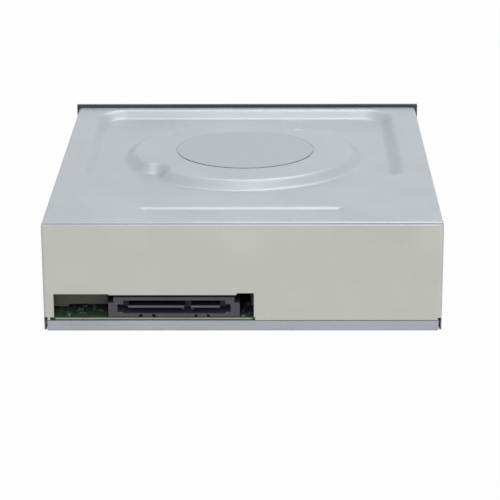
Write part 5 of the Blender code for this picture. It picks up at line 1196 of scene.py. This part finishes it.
@dataclass
class FrontMouldings:
    """The bezel, the tray's front panel, the eject button and the lamp's light guide."""

    half: float = 0.074
    height: float = 0.0424
    front: float = -0.085
    rim: float = 0.0024
    back: float = -0.080
    # the skirt inside the sheet, and the pocket that makes it one
    skirt_half: float = 0.0708
    skirt_z: Span = (0.0011, 0.0402)
    pocket_half: float = 0.0690
    pocket_z: Span = (0.0029, 0.0384)
    # the tray's mouth: half its width, its heights, its flare and the wall of its collar
    wide: float = 0.0654
    low: float = 0.0171
    high: float = 0.0349
    flare: float = 0.0005
    collar: float = 0.0018
    # the openings for the button and the light guide, as x and z spans, and the hole for a pin
    openings: tuple[tuple[Span, Span], ...] = (
        ((0.0557, 0.0663), (0.0052, 0.0118)), ((0.0517, 0.0547), (0.0074, 0.0096)))
    pin: Point = (0.044, 0.0085)
    pin_radius: float = 0.0007
    pin_flare: float = 0.0011

    def at_front(self, edge: bmesh.types.BMEdge) -> bool:
        """Whether an edge lies in the front face."""
        return all(vert.co.y < self.front + LEVEL for vert in edge.verts)

    def along(self, edge: bmesh.types.BMEdge) -> bool:
        """Whether an edge runs from front to back."""
        return abs(edge.verts[0].co.y - edge.verts[1].co.y) > 0.0001

    def bezel(self) -> None:
        """Makes the front moulding: a thin rim, a skirt inside the sheet, the openings, the collar and the hooks."""
        outside, inside = self.front - CLEAR, -0.080
        form = Form.box((-self.half, self.front, 0.0), (self.half, self.front + self.rim, self.height))
        form.bevel(0.0005, 4, self.at_front)
        form.fuse(Form.box((-self.skirt_half, self.front + self.rim / 2, self.skirt_z[0]),
                           (self.skirt_half, self.back, self.skirt_z[1])))
        form.cut(Form.box((-self.pocket_half, self.front + self.rim, self.pocket_z[0]),
                          (self.pocket_half, self.back + CLEAR, self.pocket_z[1])))
        form.fuse(Form.box((-self.wide - self.collar, -0.0830, self.low - self.collar),
                           (self.wide + self.collar, self.back, self.high + self.collar)))
        mouth = Form.box((-self.wide, outside, self.low), (self.wide, self.back + CLEAR, self.high))
        flare = Form.box((-self.wide - self.flare, self.front - self.flare, self.low - self.flare),
                         (self.wide + self.flare, self.front + self.flare, self.high + self.flare))
        drawn_in = 2 * self.flare
        flare.taper(1, (1.0 - drawn_in / (2 * self.wide), 1.0, 1.0 - drawn_in / (self.high - self.low)))
        form.cut(mouth, flare)
        form.cut(*[Form.box((x[0], outside, z[0]), (x[1], inside, z[1])) for x, z in self.openings],
                 Form.rod(self.pin, self.pin_radius, (outside, inside), Axis.Y, 24),
                 Form.rod(self.pin, self.pin_flare, (outside, self.front + 0.0003), Axis.Y, 24))
        hook = Form.box((0.0703, -0.0832, 0.024), (0.0719, -0.0745, 0.030))
        hook.fuse(Form.box((0.0711, -0.0773, 0.0243), (0.0727, -0.0748, 0.0297)))
        form.fuse(hook, hook.mirrored())
        form.piece("front_moulding", BEZEL_ABS, Body.CASE, ["front_bezel"], "black_abs", 30.0)

    def panel(self) -> None:
        """Makes the tray's front panel with soft edges and a shallow framed field."""
        form = Form.box((-0.065, self.front, 0.0175), (0.065, -0.0803, 0.0345))
        form.bevel(0.0006, 3, self.at_front)
        form.cut(Form.box((-0.0632, -0.0832, 0.0193), (0.0632, -0.080, 0.0327)))
        sunk = Form.box((-0.0625, self.front - CLEAR, 0.0198), (0.0625, self.front + 0.00025, 0.0322))
        form.cut(sunk.bevel(0.0012, 4, self.along))
        form.piece("tray_panel", FRONT_ABS, Body.TRAY, ["tray_front"], "black_abs", 30.0)

    def button(self) -> None:
        """Makes the eject button with soft edges, its retaining rim and its stem."""
        form = Form.box((0.056, self.front, 0.0055), (0.066, -0.0820, 0.0115))
        form.bevel(0.0010, 4, self.along).bevel(0.0004, 3, self.at_front)
        form.fuse(Form.box((0.055, -0.0823, 0.0045), (0.067, -0.0813, 0.0125)),
                  Form.box((0.0585, -0.0817, 0.0070), (0.0635, -0.0771, 0.0100)))
        form.piece("eject_key", FRONT_ABS, Body.BUTTON, ["eject_button"], "black_abs", 30.0)

    def guide(self) -> None:
        """Makes the clear light guide with a domed end."""
        form = Form.box((0.052, self.front, 0.0077), (0.0544, -0.0788, 0.0093)).bevel(0.0003, 3)
        form.piece("lamp_guide", ACRYLIC, Body.CASE, ["light_guide"], "clear_acrylic", 30.0)

    def build(self) -> None:
        """Makes the four mouldings."""
        self.bezel()
        self.panel()
        self.button()
        self.guide()


@dataclass
class RearPlug:
    """The combined power and data plug: body, keyed tongues, gold contacts and soldered legs."""

    x: Span = (0.0011, 0.0493)
    y: Span = (0.071, 0.0838)
    z: Span = (0.0051, 0.0133)
    # the guide slots at the ends and the step along the top
    slot: float = 0.0019
    slot_low: float = 0.0106
    step: float = 0.0016
    step_low: float = 0.0127
    # the mouth behind the face, and the wider bay across its middle, as x and z spans
    mouths: tuple[tuple[Span, Span], ...] = (
        ((0.0063, 0.0438), (0.00645, 0.0115)), ((0.0044, 0.0460), (0.0070, 0.0100)))
    mouth_back: float = 0.076
    # the feet under the body, as x and half the width of the gap that a foot stands in
    feet: tuple[Span, ...] = ((0.0350, 0.0035), (0.0149, 0.0031))
    foot_half: float = 0.0018
    # the tongues, with the key that hangs from one end of each, and their contacts
    power: Span = (0.0214, 0.0420)
    data: Span = (0.0084, 0.0190)
    tongue: Span = (0.0086, 0.0094)
    key: float = 0.0012
    pitch: float = 0.00127
    contact: float = 0.0007
    # the legs
    leg_count: int = 22
    leg_pitch: float = 0.0015
    leg_half: float = 0.0002

    def housing(self) -> None:
        """Makes the moulded body with its guide slots, its mouth and its feet."""
        (left, right), face, low = self.x, self.y[1], self.z[0] - GRIP
        above, out = 0.0147, face + CLEAR
        form = Form.box((left, self.y[0], self.z[0]), (right, face, self.z[1]))
        form.cut(Form.box((right - self.slot, 0.07, self.slot_low), (right + CLEAR, out, above)),
                 Form.box((left - CLEAR, 0.07, self.slot_low), (left + self.slot, out, above)),
                 Form.box((left - CLEAR, face - self.step, self.step_low), (right + CLEAR, out, above)))
        form.cut(*[Form.box((x[0], self.mouth_back, z[0]), (x[1], face + 0.0001, z[1])) for x, z in self.mouths])
        for x, reach in self.feet:
            gap = Form.box((x - reach, 0.0765, low), (x + reach, face + 0.0005, 0.0061))
            form.cut(gap.taper(2, (0.8, 1.0, 1.0)))
            form.fuse(Form.box((x - self.foot_half, 0.0764, low), (x + self.foot_half, face - 0.0002, 0.0062)))
        form.piece("plug_housing", PLUG_PBT, Body.CASE, ["sata_plug"], "black_abs", 30.0, 0.00018)

    def tongues(self) -> None:
        """Makes the two tongues with their keys, coloured near black as painted shade, and their rims coloured paler
        as painted light.
        """
        tongues, rims = Form(), Form()
        (under, upper), back, front = self.tongue, 0.0757, self.y[1] - 0.0004
        for (left, right), key in ((self.power, self.power[0]), (self.data, self.data[1] - self.key)):
            blade = Form.box((left, back, under), (right, front, upper))
            blade.fuse(Form.box((key, back, under - 0.0009), (key + self.key, front, upper - 0.0003)))
            tongues.beside(blade)
            rims.beside(Form.box((left, front - 0.0003, under), (right, front + 0.0002, upper)))
        # the tongues take the near black and their rims the paler grey: painted shade and painted light
        tongues.piece("plug_tongues", TONGUE_PAINTED_SHADE_PBT, Body.CASE, (), "black_abs", 30.0, 0.00012)
        rims.piece("plug_tongue_lit_rims", TONGUE_RIM_PAINTED_LIGHT_PBT, Body.CASE, (), "black_abs", 30.0, 0.0001)

    def contacts(self) -> None:
        """Makes the gold strips on the tongues, the longer ones reaching nearer the mouth."""
        strips = Form()
        for span, count, long_ones in ((self.power, 15, (3, 4, 11)), (self.data, 7, (0, 3, 6))):
            middle = sum(span) / 2
            for i in range(count):
                x = middle + (i - (count - 1) / 2) * self.pitch
                end = self.y[1] - (0.0007 if i in long_ones else 0.0014)
                strip = Form.box((x - self.contact / 2, 0.0761, self.tongue[0] - 0.00012),
                                 (x + self.contact / 2, end, self.tongue[0] + 0.00005))
                strips.beside(strip.bevel(0.00005, 1))
        strips.piece("plug_contact_strips", GOLD, Body.CASE, (), None, 30.0)

    def legs(self) -> None:
        """Makes the soldered legs behind the body."""
        legs = Form()
        for i in range(self.leg_count):
            x = self.x[0] + 0.0075 + i * self.leg_pitch
            low, high = x - self.leg_half, x + self.leg_half
            legs.beside(Form.box((low, 0.0690, 0.00502), (high, 0.0712, 0.00532)),
                        Form.box((low, 0.0707, 0.0052), (high, 0.0711, 0.0068)))
        legs.piece("plug_legs", SOLDER, Body.CASE, (), None, 30.0)

    def build(self) -> None:
        """Makes the plug."""
        self.housing()
        self.tongues()
        self.contacts()
        self.legs()


@dataclass
class BoardParts:
    """The small parts on the main board, its sawn edge and the sill above it, seen through the rear window."""

    top: float = 0.0050
    rear: float = 0.0839
    span: Span = (-0.0036, 0.0688)
    # how deep a part sits in the board, and how high a flat pad stands
    seated: float = 0.00002
    pad: float = 0.00006
    # the stretches of board that show, right and left of the plug and from front to rear
    right: Span = (0.0512, 0.0684)
    left: Span = (-0.0034, -0.0004)
    deep: Span = (0.0645, 0.0828)
    count: int = 64
    seed: int = 7

    def edge(self) -> None:
        """Makes the pale sawn edge along the board's rear, and under it a black strip that paints the shadow in the
        gap above the pan's lip.
        """
        (left, right), back = self.span, self.rear - 0.0002
        upper = Form.box((left, back, self.top - 0.0007), (right, self.rear + 0.00012, self.top - 0.0002))
        upper.piece("board_rear_edge", BOARD_EDGE, Body.CASE, (), "green_board", 30.0)
        # painted shadow: a black strip where the gap between the board and the pan's lip lies in shade
        under = Form.box((left, back, self.top - 0.0015), (right, self.rear + 0.00015, self.top - 0.0007))
        under.piece("board_rear_painted_shadow", BLACK_RUBBER_AND_PAINTED_SHADOW, Body.CASE, (), None, 30.0)

    def chips(self) -> None:
        """Makes small dark ceramic parts and flat lacquered pads beside the plug, and the bare corner."""
        picker = random.Random(self.seed)
        parts, pads = Form(), Form()
        foot = self.top - self.seated
        for _ in range(self.count):
            x = picker.uniform(*self.right) if picker.random() < 0.75 else picker.uniform(*self.left)
            y = picker.uniform(*self.deep)
            size = picker.choice((0.0008, 0.0014, 0.0020))
            wide, deep = picker.choice(((size / 2, size / 4), (size / 5, size * 0.7)))
            dark = picker.random() < 0.5
            crown = self.top + (size * 0.4 if dark else self.pad)
            (parts if dark else pads).beside(Form.box((x - wide, y - deep, foot), (x + wide, y + deep, crown)))
        parts.piece("board_ceramic_parts", CERAMIC, Body.CASE, (), None, 30.0)
        pads.piece("board_pads", PAD_LACQUER, Body.CASE, (), None, 30.0)
        corner = Form.box((-0.0010, self.rear - 0.0030, foot), (0.0004, self.rear - 0.0008, self.top + 0.0001))
        corner.piece("board_bare_corner", PAD_YELLOW, Body.CASE, (), None, 30.0)

    def sill(self) -> None:
        """Makes the moulded sill under the chassis's rear wall."""
        form = Form.box((0.0500, 0.0734, 0.0068), (0.0702, 0.0746, 0.0150)).bevel(0.0002, 2)
        form.piece("chassis_sill", CHASSIS_ABS, Body.CASE, (), "black_abs", 30.0)

    def build(self) -> None:
        """Makes the board's small parts and the sill above them."""
        self.edge()
        self.chips()
        self.sill()


@dataclass
class Mechanism:
    """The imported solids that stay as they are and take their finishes."""

    finishes: dict[Finish, Sequence[str]] = field(default_factory=lambda: {
        CHASSIS_ABS: ("main_chassis", "cam_slider", "lift_frame"),
        TRAY_ABS: ("tray", "turntable", "centring_cone", "clamper_hub"),
        CHIP_EPOXY: ("lens_holder", "feed_bearing", "eject_switch", "controller_chip", "driver_chip"),
        ACETAL: ("tray_gear", "pulley_gear", "motor_pulley", "feed_nut"),
        NYLON: ("ribbon_socket", "lamp"),
        BRIGHT_STEEL: ("loading_motor", "clamp_bridge", "traverse_deck", "spindle_plate", "rotor", "guide_rod_left",
                       "guide_rod_right", "feed_motor", "lead_screw", "pickup_cover"),
        ZINC_SCREW: ("capacitor", *[f"damper_screw_{i}" for i in range(1, 5)]),
        BLACK_RUBBER_AND_PAINTED_SHADOW: ("drive_belt", "grip_ring", *[f"damper_{i}" for i in range(1, 5)]),
        BOARD_GREEN: ("main_board", "switch_board"),
        COPPER: ("stator",), FERRITE: ("clamper_magnet",), CAST_ZINC: ("pickup_body",),
        LENS_GLASS: ("objective_lens",), FILM: ("pickup_ribbon",)})

    def build(self) -> None:
        """Gives each solid its finish."""
        for finish, names in self.finishes.items():
            for name in names:
                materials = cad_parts[name].data.materials
                materials.clear()
                materials.append(finish.material())
                LOG.info("%s finished", name)


@dataclass(frozen=True)
class Lamp:
    """A square soft box: where it hangs, its side, its power in watts and its colour."""

    name: str
    place: Corner
    size: float
    power: float
    colour: str = "FFFFFF"


@dataclass
class Studio:
    """A white floor, a white surround, soft lamps and the photograph's viewpoint."""

    target: Corner = (-0.00278, 0.085, 0.03133)
    distance: float = 0.776
    azimuth: float = -0.59
    elevation: float = 18.30
    roll: float = -0.22
    lens: float = 154.08
    # how strong the surround is as light, and how much of the floor's white is its own
    surround: float = 0.26
    floor_glow: float = 0.96
    lamps: tuple[Lamp, ...] = (
        Lamp("overhead_far", (-0.15, -0.75, 1.25), 0.6, 3.4), Lamp("overhead", (-0.05, 0.05, 1.5), 0.5, 1.1),
        Lamp("behind_camera", (-0.6, 1.85, 1.45), 3.0, 46.0, "F4F6FF"))
    lamp_aim: Corner = (0.0, 0.0, 0.03)

    def looked_at(self, tree: Tree) -> tuple[Socket, Socket]:
        """Tells what is seen, straight or in a gloss, from what only lights the part.

        Args:
            tree: The floor's or the world's nodes.

        Returns:
            A factor that is one where it is seen, and the factor for light through clear plastic.
        """
        path = add_node(tree, "ShaderNodeLightPath")
        seen = add_node(tree, "ShaderNodeMath", {"operation": "MAXIMUM"},
                        {0: path.outputs["Is Camera Ray"], 1: path.outputs["Is Glossy Ray"]})
        return seen.outputs[0], path.outputs["Is Transmission Ray"]

    def paper(self) -> bpy.types.Material:
        """Makes the floor's matt white paper, which shows as white and keeps a faint shadow.

        Returns:
            The material.
        """
        material = bpy.data.materials.new("white_paper")
        material.use_nodes = True
        tree = material.node_tree
        shader = tree.nodes["Principled BSDF"]
        shader.inputs["Base Color"].default_value = (0.85, 0.85, 0.85, 1.0)
        shader.inputs["Roughness"].default_value = 0.9
        shader.inputs["Specular IOR Level"].default_value = 0.0
        seen, _ = self.looked_at(tree)
        share = add_node(tree, "ShaderNodeMath", {"operation": "MULTIPLY"}, {0: seen, 1: self.floor_glow})
        glow = add_node(tree, "ShaderNodeEmission", inputs={"Color": (1.0, 1.0, 1.0, 1.0), "Strength": 1.0})
        upper = add_node(tree, "ShaderNodeMixShader",
                         inputs={0: share.outputs[0], 1: shader.outputs[0], 2: glow.outputs[0]})
        # only its upper face is there, so the underside can be looked at
        face = add_node(tree, "ShaderNodeNewGeometry")
        clear = add_node(tree, "ShaderNodeBsdfTransparent")
        mix = add_node(tree, "ShaderNodeMixShader",
                       inputs={0: face.outputs["Backfacing"], 1: upper.outputs[0], 2: clear.outputs[0]})
        tree.links.new(mix.outputs[0], tree.nodes["Material Output"].inputs["Surface"])
        return material

    def floor(self) -> None:
        """Lays a wide white floor just under the part."""
        form = Form()
        bmesh.ops.create_grid(form.mesh, x_segments=1, y_segments=1, size=12.0)
        floor = form.moved((0.0, 0.0, -0.0002)).temporary("studio_floor")
        form.mesh.free()
        floor.data.materials.append(self.paper())

    def world(self) -> None:
        """Makes the surround white where it is seen, and softer as light."""
        world = bpy.data.worlds.new("white_surround")
        bpy.context.scene.world = world
        world.use_nodes = True
        tree = world.node_tree
        background = tree.nodes["Background"]
        seen, through = self.looked_at(tree)
        clear = add_node(tree, "ShaderNodeMath", {"operation": "MAXIMUM"}, {0: seen, 1: through})
        strength = add_node(tree, "ShaderNodeMapRange", inputs={
            "Value": clear.outputs[0], "To Min": self.surround, "To Max": 1.0})
        background.inputs["Color"].default_value = (1.0, 1.0, 1.0, 1.0)
        tree.links.new(strength.outputs[0], background.inputs["Strength"])

    def hang(self, lamp: Lamp) -> None:
        """Hangs a lamp, facing the part.

        Args:
            lamp: Its place, size, power and colour.
        """
        light = bpy.data.lights.new(lamp.name, "AREA")
        light.size, light.energy = lamp.size, lamp.power
        light.color = linear(lamp.colour)[:3]
        hung = bpy.data.objects.new(lamp.name, light)
        bpy.context.scene.collection.objects.link(hung)
        hung.location = lamp.place
        way = Vector(self.lamp_aim) - Vector(lamp.place)
        hung.rotation_euler = way.to_track_quat("-Z", "Y").to_euler()

    def camera(self) -> None:
        """Sets the photograph's viewpoint, from behind and above."""
        elevation, azimuth, roll = (math.radians(v) for v in (self.elevation, self.azimuth, self.roll))
        back = Vector((math.sin(azimuth) * math.cos(elevation), math.cos(azimuth) * math.cos(elevation),
                       math.sin(elevation)))
        # the rear faces +Y, so from there +X lies to the left
        right = Vector((0.0, 0.0, 1.0)).cross(back).normalized()
        up = back.cross(right)
        turned_right = math.cos(roll) * right + math.sin(roll) * up
        turned_up = -math.sin(roll) * right + math.cos(roll) * up
        data = bpy.data.cameras.new("viewpoint")
        data.lens, data.sensor_width = self.lens, 36.0
        data.clip_start, data.clip_end = 0.05, 50.0
        camera = bpy.data.objects.new("viewpoint", data)
        bpy.context.scene.collection.objects.link(camera)
        turn = Matrix((turned_right, turned_up, back)).transposed().to_4x4()
        camera.matrix_world = Matrix.Translation(Vector(self.target) + back * self.distance) @ turn
        bpy.context.scene.camera = camera

    def build(self) -> None:
        """Sets the stage."""
        self.floor()
        self.world()
        for lamp in self.lamps:
            self.hang(lamp)
        self.camera()
        bpy.context.scene.view_settings.view_transform = "Standard"


def main() -> None:
    """Builds every sub-assembly in order."""
    logging.basicConfig(level=logging.INFO, format="%(message)s")
    for assembly in (Studio(), TopCover(), BottomPan(), ScrewSet(), FrontMouldings(), RearPlug(), BoardParts(),
                     Mechanism()):
        assembly.build()
        LOG.info("%s done", type(assembly).__name__)


if __name__ == "__main__":
    main()
